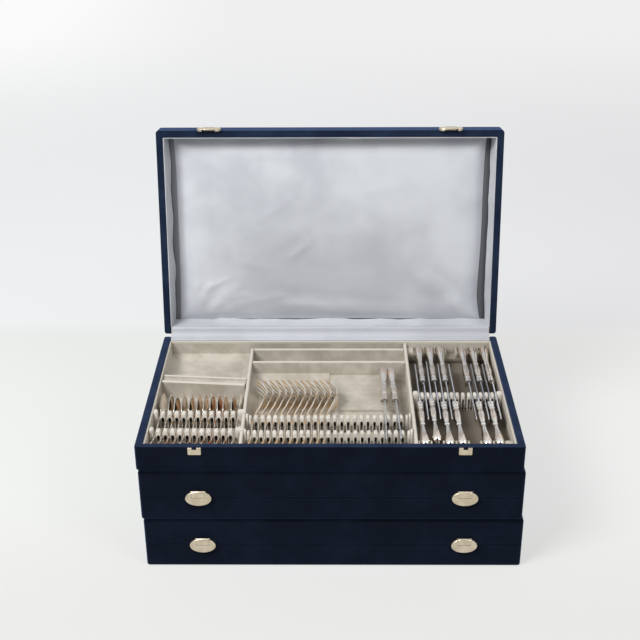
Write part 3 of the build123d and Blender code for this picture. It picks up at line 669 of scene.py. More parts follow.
def pad_shape():
    """Slack padded satin panel, hung from the lid's ceiling: columns across, rows from front to rear."""
    depth, middle = PAD_REAR - PAD_FRONT, (PAD_FRONT + PAD_REAR) / 2
    columns, rows = pad_lines(2 * PAD_X, PAD_COLUMNS) - PAD_X, pad_lines(depth, PAD_ROWS) + PAD_FRONT
    x, y = np.meshgrid(columns, rows)
    from_side = PAD_X - np.abs(x)
    from_end = depth / 2 - np.abs(y - middle)
    # The distance from the nearer edge, rounded off towards the corners
    edge = 1 / (1 / (from_side + 0.6) ** 3 + 1 / (from_end + 0.6) ** 3) ** (1 / 3) - 0.4
    rise = smooth(PAD_RISE, np.clip(edge.ravel(), 0, 149))[:, 0].reshape(x.shape)
    for x0, y0, x1, y1, width, height in PAD_FOLDS:
        run = np.hypot(x1 - x0, y1 - y0)
        along = ((x - x0) * (x1 - x0) + (y - y0) * (y1 - y0)) / run
        beside = ((x - x0) * (y1 - y0) - (y - y0) * (x1 - x0)) / run
        past = np.clip(np.maximum(-along, along - run), 0, None)
        near_fold = np.exp(-((beside / width) ** 2) - (past / (1.4 * width)) ** 2)
        rise += height * near_fold * np.clip(edge / 9, 0, 1)
    for j, i in np.ndindex(x.shape):
        spot = Vector((x[j, i], y[j, i], 0))
        wave = sum(noise.noise(spot / length) * crest for length, crest in PAD_WAVES)
        rise[j, i] += wave * min(1, edge[j, i] / 20)
    to_rear = np.clip((y + 10) / 120, 0, 1) ** 2
    slack = np.where(x > 0, RIGHT_SLACK + REAR_RIGHT_SLACK * to_rear, LEFT_SLACK)
    pull = slack * (1 - ((y - middle) / depth * 2) ** 4) * np.clip(1 - from_side / SLACK_REACH, 0, 1)
    pull_end = END_SLACK * (1 - (x / PAD_X) ** 2) * np.clip(1 - from_end / SLACK_REACH, 0, 1)
    drawn_x, drawn_y = x - np.sign(x) * pull, y - np.sign(y - middle) * pull_end
    face = np.stack([drawn_x, drawn_y, PAD_BACK_Z - rise], axis=-1)
    back = face.copy()
    back[..., 2] = PAD_BACK_Z
    return face, back


def closed_panel(face, back):
    """The two sides of a panel, joined around its edge."""
    rows, columns = face.shape[:2]
    half = rows * columns
    faces = []
    for j in range(rows - 1):
        for i in range(columns - 1):
            a = j * columns + i
            faces.append((a, a + 1, a + 1 + columns, a + columns))
            faces.append((half + a, half + a + columns, half + a + 1 + columns, half + a + 1))
    rim = list(range(columns)) + [j * columns + columns - 1 for j in range(1, rows)]
    rim += [(rows - 1) * columns + i for i in range(columns - 2, -1, -1)]
    rim += [j * columns for j in range(rows - 2, 0, -1)]
    for a, b in zip(rim, rim[1:] + rim[:1]):
        faces.append((a, half + a, half + b, b))
    return np.concatenate([face.reshape(-1, 3), back.reshape(-1, 3)]), faces


def lid_pads():
    """The same padded panel in each lid."""
    face, back = pad_shape()
    mesh = mesh_of("lid_pad", closed_panel(face, back), SATIN, sharp=60)
    for case in CASES:
        pad = piece(f"{case}_lid_satin_pad", mesh, f"{case}_lid", lid_place(case))
        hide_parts(f"{case}_lid_pad")


# The satin bands: half their thickness, and the shares of their height at which they bend
BAND_T = 0.5
BAND_BENDS = (0, 0.12, 0.3, 0.5, 0.7, 0.86, 0.96, 1)
# Their hem leans in, comes free this far from a corner, and there it leans further and drops
HEM_LEAN, HEM_FREE_FROM, HEM_LOOSE, HEM_DROP = 3.0, 45, 1.5, 1.4
# The shade card: how far it reaches into the lining's walls, and its height and inset at each of its
# rings
CARD_LAP = 0.8
CARD_RINGS = ((0.8, 0.3), (0.6, 0), (0.2, 0), (0, 0.3))


def round_the_lid():
    """Places along the lid's four walls: x, y, inward direction and distance from the nearest corner."""
    places = []
    for ax, ay, bx, by, steps in (
        (-1, -1, 1, -1, 90),
        (1, -1, 1, 1, 60),
        (1, 1, -1, 1, 90),
        (-1, 1, -1, -1, 60),
    ):
        run = 2 * (LINING_X if ay == by else LINING_Y)
        for k in range(steps):
            t = k / steps
            x = (ax + (bx - ax) * t) * LINING_X
            y = (ay + (by - ay) * t) * LINING_Y
            inward = (-ax, -ay) if k == 0 else ((0, -ay) if ay == by else (-ax, 0))
            places.append((x, y, inward, min(t, 1 - t) * run))
    return places


def lid_bands():
    """Satin bands on the lid's walls, whose hem at the ceiling stands loose and wavers, and the dark card
    of painted shade.
    """
    rings = []
    for x, y, inward, from_corner in round_the_lid():
        free = min(1, from_corner / HEM_FREE_FROM)
        waver = noise.noise(Vector((x, y, 300)) / 42) * 2.6 + noise.noise(Vector((x, y, 30)) / 15) * 0.9
        lean = HEM_LEAN + (HEM_LOOSE + waver) * free
        hem_z = CEILING_Z - 0.6 - HEM_DROP * free - 0.8 * noise.noise(Vector((x, y, 90)) / 25)
        inner = []
        for t in BAND_BENDS:
            out = lean * t**1.7 - 0.9 * math.sin(math.pi * t) * free + BAND_T
            z = LID_RIM_Z + (hem_z - LID_RIM_Z) * t
            inner.append((x + inward[0] * out, y + inward[1] * out, z))
        outer = [(px - inward[0] * 2 * BAND_T, py - inward[1] * 2 * BAND_T, pz) for px, py, pz in inner]
        rings.append(inner + outer[::-1])
    band_mesh = mesh_of("lid_band", skin(rings, loop=True), SATIN, sharp=50)
    # The card is a dark sheet of painted shade in the gap beside the pad.
    card_rings = []
    for height, inset in CARD_RINGS:
        x, y, z = LINING_X + CARD_LAP - inset, LINING_Y + CARD_LAP - inset, CEILING_Z + height
        card_rings.append([(-x, -y, z), (x, -y, z), (x, y, z), (-x, y, z)])
    shade_card_mesh = mesh_of("lid_shade_card", skin(card_rings), SHADE_CARD)
    for case in CASES:
        band = piece(f"{case}_lid_satin_band", band_mesh, f"{case}_lid", lid_place(case))
        card = piece(f"{case}_lid_shade_card", shade_card_mesh, f"{case}_lid", lid_place(case))
        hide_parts(f"{case}_lid_lining")
        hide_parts(f"{case}_lid_lining")


# The gusset: half its length and half its thickness, then its line over an open case's rims as (y, z),
# its line between a closed case's rims, and the two ends of each line's bend
GUSSET_X, GUSSET_T = 248.8, 0.22
OPEN_GUSSET = (
    (149.2, 35.15),
    (149.5, 36.3),
    (150.2, 37.0),
    (152.5, 37.25),
    (155.0, 37.35),
    (157.2, 37.6),
    (158.9, 38.7),
    (160.4, 40.6),
    (161.8, 42.6),
    (162.7, 44.6),
    (163.1, 46.4),
    (163.5, 48.4),
    (164.1, 49.6),
    (165.0, 50.3),
)
CLOSED_GUSSET = (
    (150.6, 37.1),
    (152.6, 37.1),
    (154.8, 37.1),
    (156.4, 37.12),
    (157.0, 37.4),
    (157.1, 37.7),
    (157.0, 38.0),
    (156.4, 38.28),
    (154.8, 38.3),
    (152.6, 38.3),
    (150.6, 38.3),
)
OPEN_BEND = (0, 157.2, 37.4), (0, 163.2, 44.0)
CLOSED_BEND = (0, 157, 37.3), (0, 157, 38.1)


def gusset(case, line, bend_from, bend_to):
    """Satin strip over the rear rims, from the base to the lid, along the given line."""
    table = np.array(line)
    step = np.gradient(table, axis=0)
    normal = np.stack([-step[:, 1], step[:, 0]], axis=1) / np.hypot(step[:, 0], step[:, 1])[:, None]
    rings = []
    for x in np.linspace(-GUSSET_X, GUSSET_X, 121):
        ripple = np.array([0.12 * noise.noise(Vector((x, k * 9, 5)) / 22) for k in range(len(line))])
        middle = table + normal * ripple[:, None]
        upper, lower = middle + normal * GUSSET_T, middle - normal * GUSSET_T
        rings.append([(x, y, z) for y, z in np.concatenate([upper, lower[::-1]])])
    place = case_place(case)
    mesh = mesh_of(f"{case}_gusset", skin(rings), SHADED_GUSSET_SATIN, sharp=60)
    strip = placed(f"{case}_satin_gusset", mesh, place)
    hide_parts(f"{case}_gusset_lower", f"{case}_gusset_upper")
    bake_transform(strip)


# -------------------- insert: combs
SLOT_W, COMB_D, COMB_TOP = 3.4, 9.0, 32.5
BAR_TOP, BAR_FRONT, BAR_REAR = 15.0, 5.5, COMB_D - 0.2
# A tooth's outline from its rear to its front: place behind the front, and inset
TOOTH = ((COMB_D, 0.9), (COMB_D - 0.4, 0.3), (COMB_D - 1.1, 0), (1.1, 0), (0.4, 0.3), (0.0, 0.8))
TOOTH_FOOT_Z = TRAY_FLOOR_Z + 0.2
# Its pocket: place behind the front, narrowing of its mouth, rise of its foot and drop of its top
POCKET = ((0.1, -0.4, 1.2, 6.9), (0.6, 0, 1.4, 7.2), (7.6, 0.3, 1.5, 7.5))
POCKET_WALLS = 2.5
# The ears stand above the teeth; a split ear's half beside the slots, without and with the split
EAR_RISE, EAR_HALF_W, EAR_SPLIT = 2.2, 3.8, 4.4
# The spoon combs' right ear bridges the partition and laps past it
BRIDGE_RISE, BRIDGE_LAP, BRIDGE_FOOT_Z = 2.9, 0.9, 26.5
# Front faces of the top case's combs
SPOON_COMBS_Y, FORK_COMBS_Y, KNIFE_COMB_Y = (-65, -111), (-76, -116), -14


def slot_places(x_centre, width, pitch, margin=5.5):
    """X of each slot: as many as the comb holds between its end margins, centred in it."""
    count = int((width - 2 * margin - SLOT_W) / pitch) + 1
    return [x_centre + (k - (count - 1) / 2) * pitch for k in range(count)]


SPOON_SLOTS = slot_places(-INNER_X + LEFT_ZONE_W / 2, LEFT_ZONE_W, 9.9)
FORK_SLOTS = slot_places((MIDDLE_LEFT + MIDDLE_RIGHT) / 2, MIDDLE_RIGHT - MIDDLE_LEFT, 9.2, 8.0)
KNIFE_SLOTS = slot_places(INNER_X - RIGHT_ZONE_W / 2, RIGHT_ZONE_W, 8.4)
# Knives with their butts at the front and at the rear take turns
FRONT_SLOTS, REAR_SLOTS = KNIFE_SLOTS[0::2], KNIFE_SLOTS[1::2]


def arch(width, bottom, top, inset=0.0):
    """Outline of a round-topped tooth, from its left foot over the top to its right foot."""
    half = width / 2 - inset
    top = top - inset
    round_r = min(half * 0.8, 2.5)
    outline = [(-half, bottom + inset), (-half, (bottom + top - round_r) / 2)]
    for k in range(7):
        angle = math.pi - k * math.pi / 12
        over, up = round_r * math.cos(angle), round_r * math.sin(angle)
        outline.append((-half + round_r + over, top - round_r + up))
    outline += [(-x, z) for x, z in reversed(outline)]
    return outline


def tooth(x, width, top, y_front, chance, hollow=True, foot=TOOTH_FOOT_Z):
    """A moulded tooth: rounded all over, with a deep pocket in its front below a solid cap."""
    x += chance.uniform(-0.15, 0.15)
    top += chance.uniform(-0.3, 0.3)
    slant = chance.uniform(-0.35, 0.35)
    levels = [(dy, arch(width, foot, top, inset)) for dy, inset in TOOTH]
    if hollow:
        mouth = width - POCKET_WALLS
        levels += [(dy, arch(mouth - less, foot + up, top - down)) for dy, less, up, down in POCKET]
    rings = [
        [(x + px + slant * (pz - foot) / (top - foot), y_front + dy, pz) for px, pz in outline]
        for dy, outline in levels
    ]
    return skin(rings)


def block(x0, x1, y0, y1, z0, z1, round_r=0.6):
    """A moulded block with its edges eased."""
    rings = []
    for z, inset in ((z0, round_r), (z0 + round_r, 0), (z1 - round_r, 0), (z1, round_r)):
        a, b, c, d = x0 + inset, x1 - inset, y0 + inset, y1 - inset
        rings.append([(a, c, z), (b, c, z), (b, d, z), (a, d, z)])
    return skin(rings)


def comb(slots, x_low, x_high, y_front, chance, bridge=0.0, split=False):
    """A rack of teeth on a bar with taller ears, and a mark on each point for the painted shade, 0 down
    in a tooth's pocket.

    The ears may be split, and the right one may bridge the partition.
    """
    width = slots[1] - slots[0] - SLOT_W
    shapes = [block(x_low, x_high, y_front + BAR_FRONT, y_front + BAR_REAR, TRAY_FLOOR_Z, BAR_TOP)]
    for left, right in zip(slots, slots[1:]):
        shapes.append(tooth((left + right) / 2, width, COMB_TOP, y_front, chance))
    outline = len(arch(width, 0, COMB_TOP))
    # Marks for the painted shade: 1 on the tooth, 0.35 just inside a pocket's mouth, 0 deep in it.
    pocket_shade_marks = [1] * (len(TOOTH) + 1) * outline + [0.35] * outline + [0] * outline
    marks = [1] * len(shapes[0][0]) + pocket_shade_marks * (len(slots) - 1)
    left_ear, right_ear = slots[0] - SLOT_W / 2, slots[-1] + SLOT_W / 2
    if split:
        for x in (left_ear - EAR_HALF_W / 2, right_ear + EAR_HALF_W / 2):
            shapes.append(tooth(x, EAR_HALF_W, COMB_TOP, y_front, chance, hollow=False))
        left_ear, right_ear = left_ear - EAR_SPLIT, right_ear + EAR_SPLIT
    for low, high in ((x_low, left_ear), (right_ear, x_high)):
        middle, top = (low + high) / 2, COMB_TOP + EAR_RISE
        shapes.append(tooth(middle, high - low, top, y_front, chance, hollow=False))
    if bridge:
        low, high = right_ear - 0.2, x_high + bridge
        middle, top = (low + high) / 2, COMB_TOP + BRIDGE_RISE
        shapes.append(tooth(middle, high - low, top, y_front - 0.3, chance, False, BRIDGE_FOOT_Z))
    points, faces = joined(shapes)
    return points, faces, np.array(marks + [1] * (len(points) - len(marks)), float)


def comb_mesh(name, combs):
    """Combs that are moulded in one piece."""
    shape = joined([(points, faces) for points, faces, marks in combs])
    relief = np.concatenate([marks for points, faces, marks in combs])
    return mesh_of(name, shape, COMB, sharp=50, relief=relief)


def top_combs():
    """The top case's combs, each pair one piece, made a little unevenly as moulded parts are."""
    chance = random.Random(11)
    spoon_walls = (-INNER_X + PLAY, LEFT_ZONE_END - PLAY)
    fork_walls = (MIDDLE_LEFT + PLAY, MIDDLE_RIGHT - PLAY)
    knife_walls = (RIGHT_ZONE_START + PLAY, INNER_X - PLAY)
    bridge = PARTITION_T + BRIDGE_LAP
    sets = {
        "spoon_combs": [comb(SPOON_SLOTS, *spoon_walls, y, chance, bridge) for y in SPOON_COMBS_Y],
        "fork_combs": [comb(FORK_SLOTS, *fork_walls, y, chance, split=True) for y in FORK_COMBS_Y],
        "knife_comb": [comb(KNIFE_SLOTS, *knife_walls, KNIFE_COMB_Y, chance)],
    }
    for name, combs in sets.items():
        moulded = piece(f"moulded_{name}", comb_mesh(name, combs), "top_base", case_place("top"))
        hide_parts(name)


# The knives' rests: front face, the slots whose butts lie between its ridges, and the ridges' top
RESTS = ((128.4, REAR_SLOTS, 25.5), (-146.4, FRONT_SLOTS, 29.5))
REST_D, REST_BAR_TOP, RIDGE_FOOT_Z = 18, 14.6, 12
BUTT_HALF_W = 7.2


def knife_rests():
    """Flocked blocks under the knives' butts: a low bar with a rounded ridge between the handles."""
    left, right = RIGHT_ZONE_START + PLAY, INNER_X - PLAY
    shapes = []
    for y, places, top in RESTS:
        shapes.append(block(left, right, y, y + REST_D, TRAY_FLOOR_Z, REST_BAR_TOP))
        edges = [left] + [x + side * BUTT_HALF_W for x in places for side in (-1, 1)] + [right]
        for low, high in zip(edges[0::2], edges[1::2]):
            if high - low > 1:
                round_r = min(1.1, (high - low) * 0.4)
                shapes.append(block(low, high, y + 0.2, y + REST_D - 0.2, RIDGE_FOOT_Z, top, round_r))
    mesh = mesh_of("knife_rests", joined(shapes), REST_FLOCK, sharp=50)
    rests = piece("flocked_knife_rests", mesh, "top_base", case_place("top"))
    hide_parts("knife_rests")


# The closed cases' combs: places of their rear faces behind the tray's front, the left ones' width
LOWER_COMBS_Y = (205.0, 75.0)
LOWER_LEFT_W, LOWER_PITCH = 300, 12.4


def lower_combs():
    """The combs of the closed cases, a wide and a narrower one in each row."""
    chance = random.Random(12)
    left_zone = (-INNER_X, -INNER_X + LOWER_LEFT_W)
    right_zone = (-INNER_X + (LOWER_LEFT_W + PARTITION_T), INNER_X)
    combs = []
    for y_rear in LOWER_COMBS_Y:
        for low, high in (left_zone, right_zone):
            slots = slot_places((low + high) / 2, high - low, LOWER_PITCH)
            combs.append(comb(slots, low + PLAY, high - PLAY, -INNER_Y + y_rear - COMB_D, chance))
    mesh = comb_mesh("lower_combs", combs)
    for case in CLOSED_CASES:
        moulded = piece(f"{case}_moulded_combs", mesh, f"{case}_base", case_place(case))
        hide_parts(f"{case}_combs")


# -------------------- silver
# Each piece lies on its edge: its length along Y, its width along Z and its bends in X.
# Points around each section, and the relief mark of a plain surface
RING, PLAIN = 20, 0.5
# The chased relief: its depth, how far it fades in and out, and its ends on a spoon and a fork
CHASED_D, FADE_IN, FADE_OUT = 0.55, 3, 6
CHASED_FROM, SPOON_CHASED_TO, FORK_CHASED_TO = 0.5, 34, 40


def silver_ring(y, x, z, half_w, half_t, sag=0.0, square=1.0):
    """Section of a piece of silver: its flat stands upright, and a bowl sags to one side."""
    turn = np.linspace(0, 2 * math.pi, RING, endpoint=False)
    across, through = (np.sign(wave) * np.abs(wave) ** square for wave in (np.cos(turn), np.sin(turn)))
    sagged = x + sag * (1 - across**2) + half_t * through
    return np.stack([sagged, np.full(RING, y), z + half_w * across], axis=1)


def ornamented(rings, first, last, depth, seed):
    """Chased relief on the rings between two places along the piece, and how high each point stands."""
    rings = np.array(rings)
    relief = np.full(rings.shape[:2], PLAIN)
    for ring, high in zip(rings, relief):
        y = ring[0, 1]
        share = min(1, max(0, (y - first) / FADE_IN)) * min(1, max(0, (last - y) / FADE_OUT))
        if share > 0:
            centre = ring.mean(axis=0)
            for k in range(RING):
                spot = Vector(ring[k] - centre)
                scroll = noise.noise(Vector((spot.x * 0.9, y * 0.42 + seed, spot.z * 0.5)))
                ribs = 0.5 * math.sin(y * 1.9 + abs(spot.z) * 1.1)
                height = share * (scroll + ribs)
                ring[k] += np.array(spot.normalized()) * height * depth
                high[k] = PLAIN + 0.55 * height
    return rings, relief


# Along the handle of a spoon: place, half width and half thickness
HANDLE_L = 80
HANDLE = (
    (0, 0.8, 0.5),
    (1.5, 3.8, 1.1),
    (5, 6.0, 1.5),
    (10, 6.8, 1.6),
    (15, 6.0, 1.5),
    (19, 4.6, 1.35),
    (23, 5.0, 1.5),
    (28, 3.6, 1.3),
    (38, 2.9, 1.25),
    (60, 2.4, 1.25),
    (HANDLE_L, 2.3, 1.3),
)
# Along its bowl, in a spoon drawn this long and then stretched: place, half width, half thickness, sag
BOWL_START, SPOON_DRAWN, SPOON_L = 88, 137, 143
BOWL = (
    (BOWL_START, 2.4, 1.35, 0.0),
    (92, 3.4, 1.0, 0.3),
    (96, 7.4, 0.75, 1.6),
    (101, 10.9, 0.7, 3.2),
    (108, 13.4, 0.7, 4.6),
    (116, 14.3, 0.7, 5.2),
    (124, 13.3, 0.7, 4.8),
    (130, 10.9, 0.7, 3.5),
    (134.5, 7.2, 0.65, 1.8),
    (136.4, 3.8, 0.6, 0.6),
    (SPOON_DRAWN, 0.8, 0.4, 0.0),
)
# Along a fork: place and bend, then place, half width and half thickness of its head up to its tines
FORK_L, FORK_HEAD_L = 176, 134
FORK_LINE = (
    (0, 0),
    (40, 0),
    (75, 0.3),
    (103.3, 5.9),
    (118, 12.2),
    (126.5, 15.8),
    (137.6, 17.0),
    (148, 15.0),
    (158, 10.6),
    (167, 4.8),
    (FORK_L, -2.2),
)
FORK_HEAD = (
    (HANDLE_L, 2.5, 1.5),
    (98, 2.8, 1.7),
    (106, 3.4, 1.6),
    (112, 5.2, 1.4),
    (118, 8.6, 1.2),
    (124, 10.8, 1.1),
    (129, 11.6, 1.1),
    (FORK_HEAD_L, 11.6, 1.0),
)
# A fork's handle is the spoon's, stretched, up to its neck; then its tines
FORK_STRETCH, FORK_NECK = 0.86, 90
TINE_PITCH, TINE_START = 6.35, 130
# The flared end of a handle: its length, and how far it bends away to the side
FLARE_L, FLARE_BEND = 26, 5.2


def handle_bend(y):
    """How far the handle lies to the side at a place along it."""
    return -FLARE_BEND * np.clip((FLARE_L - y) / FLARE_L, 0, 1) ** 2


def spoon_mesh(name, seed, finish, hand):
    """A teaspoon on its edge, the back of its bowl to the left (hand -1) or to the right (hand 1)."""
    bowl_along = np.linspace(BOWL_START, SPOON_DRAWN, 34)
    along = np.concatenate([np.linspace(0, SPOON_CHASED_TO, 46), np.linspace(36, 86, 16), bowl_along])
    handle = smooth(HANDLE, np.clip(along, 0, HANDLE_L))
    bowl = smooth(BOWL, np.clip(along, BOWL_START, SPOON_DRAWN))
    rings = []
    for y, (handle_w, handle_t), (bowl_w, bowl_t, sag) in zip(along, handle, bowl):
        if y < BOWL_START:
            rings.append(silver_ring(y, handle_bend(y), 0, handle_w, handle_t))
        else:
            rings.append(silver_ring(y, 0, 0, max(bowl_w, 0.4), bowl_t, sag * hand))
    rings, relief = ornamented(rings, CHASED_FROM, SPOON_CHASED_TO, CHASED_D, seed)
    rings[..., 1] *= SPOON_L / SPOON_DRAWN
    return mesh_of(name, skin(rings), finish, sharp=70, relief=relief.ravel())


def fork_mesh(name, seed, finish):
    """A four-tined fork on its edge, its tines bent to the right and back."""
    head_along = np.linspace(102, FORK_HEAD_L, 22)
    along = np.concatenate([np.linspace(0, 42, 52), np.linspace(44, 100, 20), head_along])
    line = smooth(FORK_LINE, along)[:, 0]
    handle = smooth(HANDLE, np.clip(along * FORK_STRETCH, 0, HANDLE_L))
    head = smooth(FORK_HEAD, np.clip(along, HANDLE_L, FORK_HEAD_L))
    rings = []
    for y, x, by_handle, by_head in zip(along, line, handle, head):
        half_w, half_t = by_handle if y < FORK_NECK else by_head
        rings.append(silver_ring(y, x + handle_bend(y), 0, half_w, half_t))
    rings, relief = ornamented(rings, CHASED_FROM, FORK_CHASED_TO, CHASED_D, seed)
    shapes = [skin(rings)]
    marks = [relief.ravel()]
    for k in (-1.5, -0.5, 0.5, 1.5):
        reach = np.linspace(TINE_START, FORK_L - 0.4 - 0.6 * abs(k), 20)
        tine_x = smooth(FORK_LINE, reach)[:, 0]
        taper = np.clip((FORK_L - reach) / 9, 0.22, 1)
        tine = [
            silver_ring(y, x, TINE_PITCH * k, 2.1 * t, 1.2 * t + 0.25, square=0.6)
            for y, x, t in zip(reach, tine_x, taper)
        ]
        shapes.append(skin(tine))
        marks.append(np.full(len(tine) * RING, PLAIN))
    return mesh_of(name, joined(shapes), finish, sharp=70, relief=np.concatenate(marks))


# Along a knife's handle: share of its length, half thickness and half height
KNIFE_HANDLE = (
    (0.0, 1.6, 2.2),
    (0.015, 4.0, 5.4),
    (0.045, 5.8, 7.6),
    (0.09, 6.4, 8.8),
    (0.15, 6.4, 8.9),
    (0.24, 5.6, 7.6),
    (0.34, 4.5, 6.0),
    (0.43, 3.7, 5.0),
    (0.47, 3.5, 4.7),
    (0.49, 4.3, 5.5),
    (0.51, 3.5, 4.9),
    (0.54, 3.9, 5.2),
    (0.62, 4.6, 6.2),
    (0.70, 4.8, 6.6),
    (0.78, 4.4, 6.1),
    (0.83, 3.7, 5.3),
    (0.86, 4.7, 6.1),
    (0.885, 4.0, 5.5),
    (0.915, 4.9, 6.2),
    (0.95, 5.0, 6.1),
    (0.985, 5.1, 6.1),
    (0.996, 4.5, 5.5),
    (1.0, 1.8, 2.8),
)
# Along its blade: place from the root, back and cutting edge; the root is sunk into the handle
BLADE_L, BLADE_SUNK = 111, 1.5
BLADE = (
    (0, 5.0, -4.6),
    (8, 7.4, -7.6),
    (16, 8.4, -8.4),
    (40, 8.6, -8.3),
    (60, 8.6, -8.0),
    (85, 8.5, -7.4),
    (97, 8.4, -6.0),
    (104, 8.2, -3.4),
    (109, 7.6, 1.2),
    (BLADE_L, 6.4, 4.6),
)
CUTTING_EDGE = 0.18
# Shares of the handle: its facets' depth in its radius and their ends, and the two chased stretches
FACET_DEPTH, FACETS_FROM, FACETS_TO = 0.05, 0.1, 0.47
SHOULDER_FROM, SHOULDER_TO, BUTT_TO = 0.5, 0.9, 0.13
SHOULDER_CHASED_D, BUTT_CHASED_D = 0.5, 0.9


def blade_ring(y, back, low, half_t):
    """Section of a blade: a narrow flat along its back, then straight sides that taper to its edge."""
    middle = low + (back - low) * 0.45
    side = [(half_t, y, middle), (CUTTING_EDGE, y, low + 0.2)]
    far_side = [(-x, y, z) for x, y, z in reversed(side)]
    upper = [(half_t * 0.8, y, back), (half_t, y, back - 0.3)]
    far_upper = [(-x, y, z) for x, y, z in reversed(upper)]
    return far_upper + upper + side + [(0, y, low)] + far_side


def knife_mesh(name, length, handle_l, seed, slim=1.0, stout=1.0):
    """A hollow-handled knife on its edge: slim scales its height, and stout its handle's thickness."""
    share = np.linspace(0, 1, 110)
    rings = [
        silver_ring(y, 0, 0, half_h * slim, half_t * stout, square=0.8)
        for y, (half_t, half_h) in zip(share * handle_l, smooth(KNIFE_HANDLE, share))
    ]
    shoulder = handle_l * SHOULDER_FROM, handle_l * SHOULDER_TO
    rings, relief = ornamented(rings, *shoulder, SHOULDER_CHASED_D, seed)
    rings, butt_relief = ornamented(rings, CHASED_FROM, handle_l * BUTT_TO, BUTT_CHASED_D, seed + 7)
    relief = np.where(butt_relief == PLAIN, relief, butt_relief)
    facets = 1 + FACET_DEPTH * np.cos(4 * np.linspace(0, 2 * math.pi, RING, endpoint=False))
    for k, ring in enumerate(rings):
        if FACETS_FROM < share[k] < FACETS_TO:
            centre = ring.mean(axis=0)
            rings[k] = centre + (ring - centre) * facets[:, None]
    blade = []
    reach = np.linspace(0, BLADE_L, 46)
    for out, (back, low) in zip(reach, smooth(BLADE, reach)):
        y = handle_l - BLADE_SUNK + out * (length - handle_l + BLADE_SUNK) / BLADE_L
        blade.append(blade_ring(y, back * slim, low * slim, 1.0 - 0.3 * out / BLADE_L))
    handle_shape, blade_shape = skin(rings), skin(blade)
    marks = np.concatenate([relief.ravel(), np.full(len(blade_shape[0]), PLAIN)])
    mesh = mesh_of(name, joined([handle_shape, blade_shape]), SILVER, sharp=55, relief=marks)
    mesh.materials.append(STEEL)
    metal = np.zeros(len(mesh.polygons), int)
    metal[len(handle_shape[1]):] = 1
    mesh.polygons.foreach_set("material_index", metal)
    return mesh


def sway(degrees_over, degrees_askew, slide):
    """How far pieces lean over, stand askew and slide, at most, in radians and millimetres."""
    return math.radians(degrees_over), math.radians(degrees_askew), slide


def set_out(name, meshes, places, node, chance, most):
    """Pieces of silver in their slots, each a little askew; with the first, the CAD node is hidden."""
    for k, (x, y, z, turn) in enumerate(places):
        lean = Euler((0, chance.uniform(-1, 1) * most[0], turn + chance.uniform(-1, 1) * most[1]))
        slid = chance.uniform(-1, 1) * most[2]
        place = Matrix.Translation(Vector((x, y + slid, z)) * MM) @ lean.to_matrix().to_4x4()
        mesh = meshes[k % len(meshes)]
        thing = piece(f"{name}_{k + 1:02d}", mesh, "top_base", case_place("top") @ place)
        if k == 0:
            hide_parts(node)


# Handle ends of the spoons and forks, how many there are, and the height at which each kind lies
SILVER_FRONT_Y, SET_OF = -145.2, 12
SPOON_Z, FORK_Z, KNIFE_Z, SMALL_KNIFE_Z = 22.8, 23.5, 24, 27
SPOON_LOOKS = ((SILVER, -1), (SILVER, 1), (WARM_SILVER, 1), (SPOON_SILVER, 1), (TONED_SILVER, 1))
SPOON_ORDER = (0, 1, 2, 3, 1, 2, 3, 2, 4, 3, 2, 1)
# The knives: whole length, length of the handle, and butts at the front or the rear
KNIFE_L, KNIFE_HANDLE_L = 219, 111
FRONT_BUTT_Y, REAR_BUTT_Y = -137.2, 142.7
# The slots left empty, and how far the front knives have slid back
FRONT_EMPTY, REAR_EMPTY = 4, 3
FRONT_SLID = (0, 9, 0, 0, 0, 0)
# The two small knives lie across the fork combs with their butts behind them
SMALL_KNIFE_L, SMALL_HANDLE_L = 203, 97
SMALL_BUTT_Y, SMALL_TURN = 72.2, math.radians(1.2)


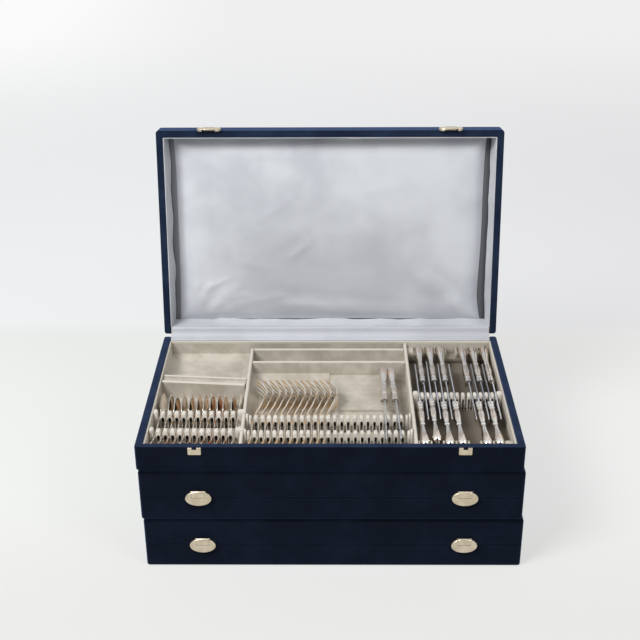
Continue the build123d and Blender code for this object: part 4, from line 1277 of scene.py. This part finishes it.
def table_silver():
    """The spoons, forks and knives in the top case."""
    chance = random.Random(31)
    spoons = [spoon_mesh(f"teaspoon_{k}", 3.7 * k, *look) for k, look in enumerate(SPOON_LOOKS)]
    in_order = [spoons[k] for k in SPOON_ORDER]
    places = [(x, SILVER_FRONT_Y, SPOON_Z, 0) for x in SPOON_SLOTS[:SET_OF]]
    set_out("teaspoon", in_order, places, "teaspoons", chance, sway(5, 0.7, 2.5))

    finishes = (FORK_SILVER, PALE_FORK_SILVER)
    forks = [fork_mesh(f"fork_{k}", 2.9 * k, finish) for k, finish in enumerate(finishes)]
    places = [(x, SILVER_FRONT_Y, FORK_Z, 0) for x in FORK_SLOTS[:SET_OF]]
    set_out("fork", forks, places, "forks", chance, sway(1.6, 0.25, 1.1))

    knives = [knife_mesh(f"knife_{k}", KNIFE_L, KNIFE_HANDLE_L, 5.3 * k) for k in range(2)]
    front = [x for k, x in enumerate(FRONT_SLOTS) if k != FRONT_EMPTY]
    rear = [x for k, x in enumerate(REAR_SLOTS) if k != REAR_EMPTY]
    places = [(x, FRONT_BUTT_Y + slid, KNIFE_Z, 0) for x, slid in zip(front, FRONT_SLID)]
    places += [(x, REAR_BUTT_Y, KNIFE_Z, math.pi) for x in rear]
    set_out("knife", knives, places, "knives", chance, sway(5, 0.25, 0.8))

    pivot_y = (sum(FORK_COMBS_Y) + COMB_D) / 2
    drift = (SMALL_BUTT_Y - pivot_y) * math.sin(SMALL_TURN)
    small = [knife_mesh("small_knife", SMALL_KNIFE_L, SMALL_HANDLE_L, 1.3, slim=0.88, stout=0.98)]
    places = [
        (x + side * drift, SMALL_BUTT_Y, SMALL_KNIFE_Z, math.pi - side * SMALL_TURN)
        for x, side in zip(FORK_SLOTS[-4::2], (1, -1))
    ]
    set_out("small_knife", small, places, "small_knives", chance, sway(9, 0.0, 0.4))


# -------------------- the frame's own nodes
def dress_frame():
    """Finishes of the CAD pieces whose shape stays as it is."""
    finish_of = {
        "base_shell": VELVET,
        "lid_shell": LID_VELVET,
        "hinge_base_leaf": BRASS,
        "hinge_lid_leaf": BRASS,
        "hinge_pin": BRASS,
        "latch_leaves": NICKEL,
        "latch_pins": NICKEL,
        "latch_flap_left": NICKEL,
        "latch_flap_right": NICKEL,
        "catch_plates": NICKEL,
    }
    dressed = {f"{case}_{name}": finish for case in CASES for name, finish in finish_of.items()}
    for name in ("insert_tray", "left_divider", "right_divider", "rear_bars", "platform", "cross_rail"):
        dressed[name] = FLOCK
    for case in CLOSED_CASES:
        floor_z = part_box(f"{case}_base_shell")[0].z + TRAY_FLOOR_Z * MM
        dressed[f"{case}_insert_tray"] = flock_finish(f"{case}_flock", floor_z, 0.0)
    dressed["top_lid_shell"] = OPEN_LID_VELVET
    for name, finish in dressed.items():
        for slot in frame["nodes"][name].material_slots:
            slot.material = finish


camera_and_light()
studio()
dress_frame()
lid_pads()
lid_bands()
gusset("top", OPEN_GUSSET, *OPEN_BEND)
for closed_case in CLOSED_CASES:
    gusset(closed_case, CLOSED_GUSSET, *CLOSED_BEND)
top_combs()
knife_rests()
lower_combs()
table_silver()
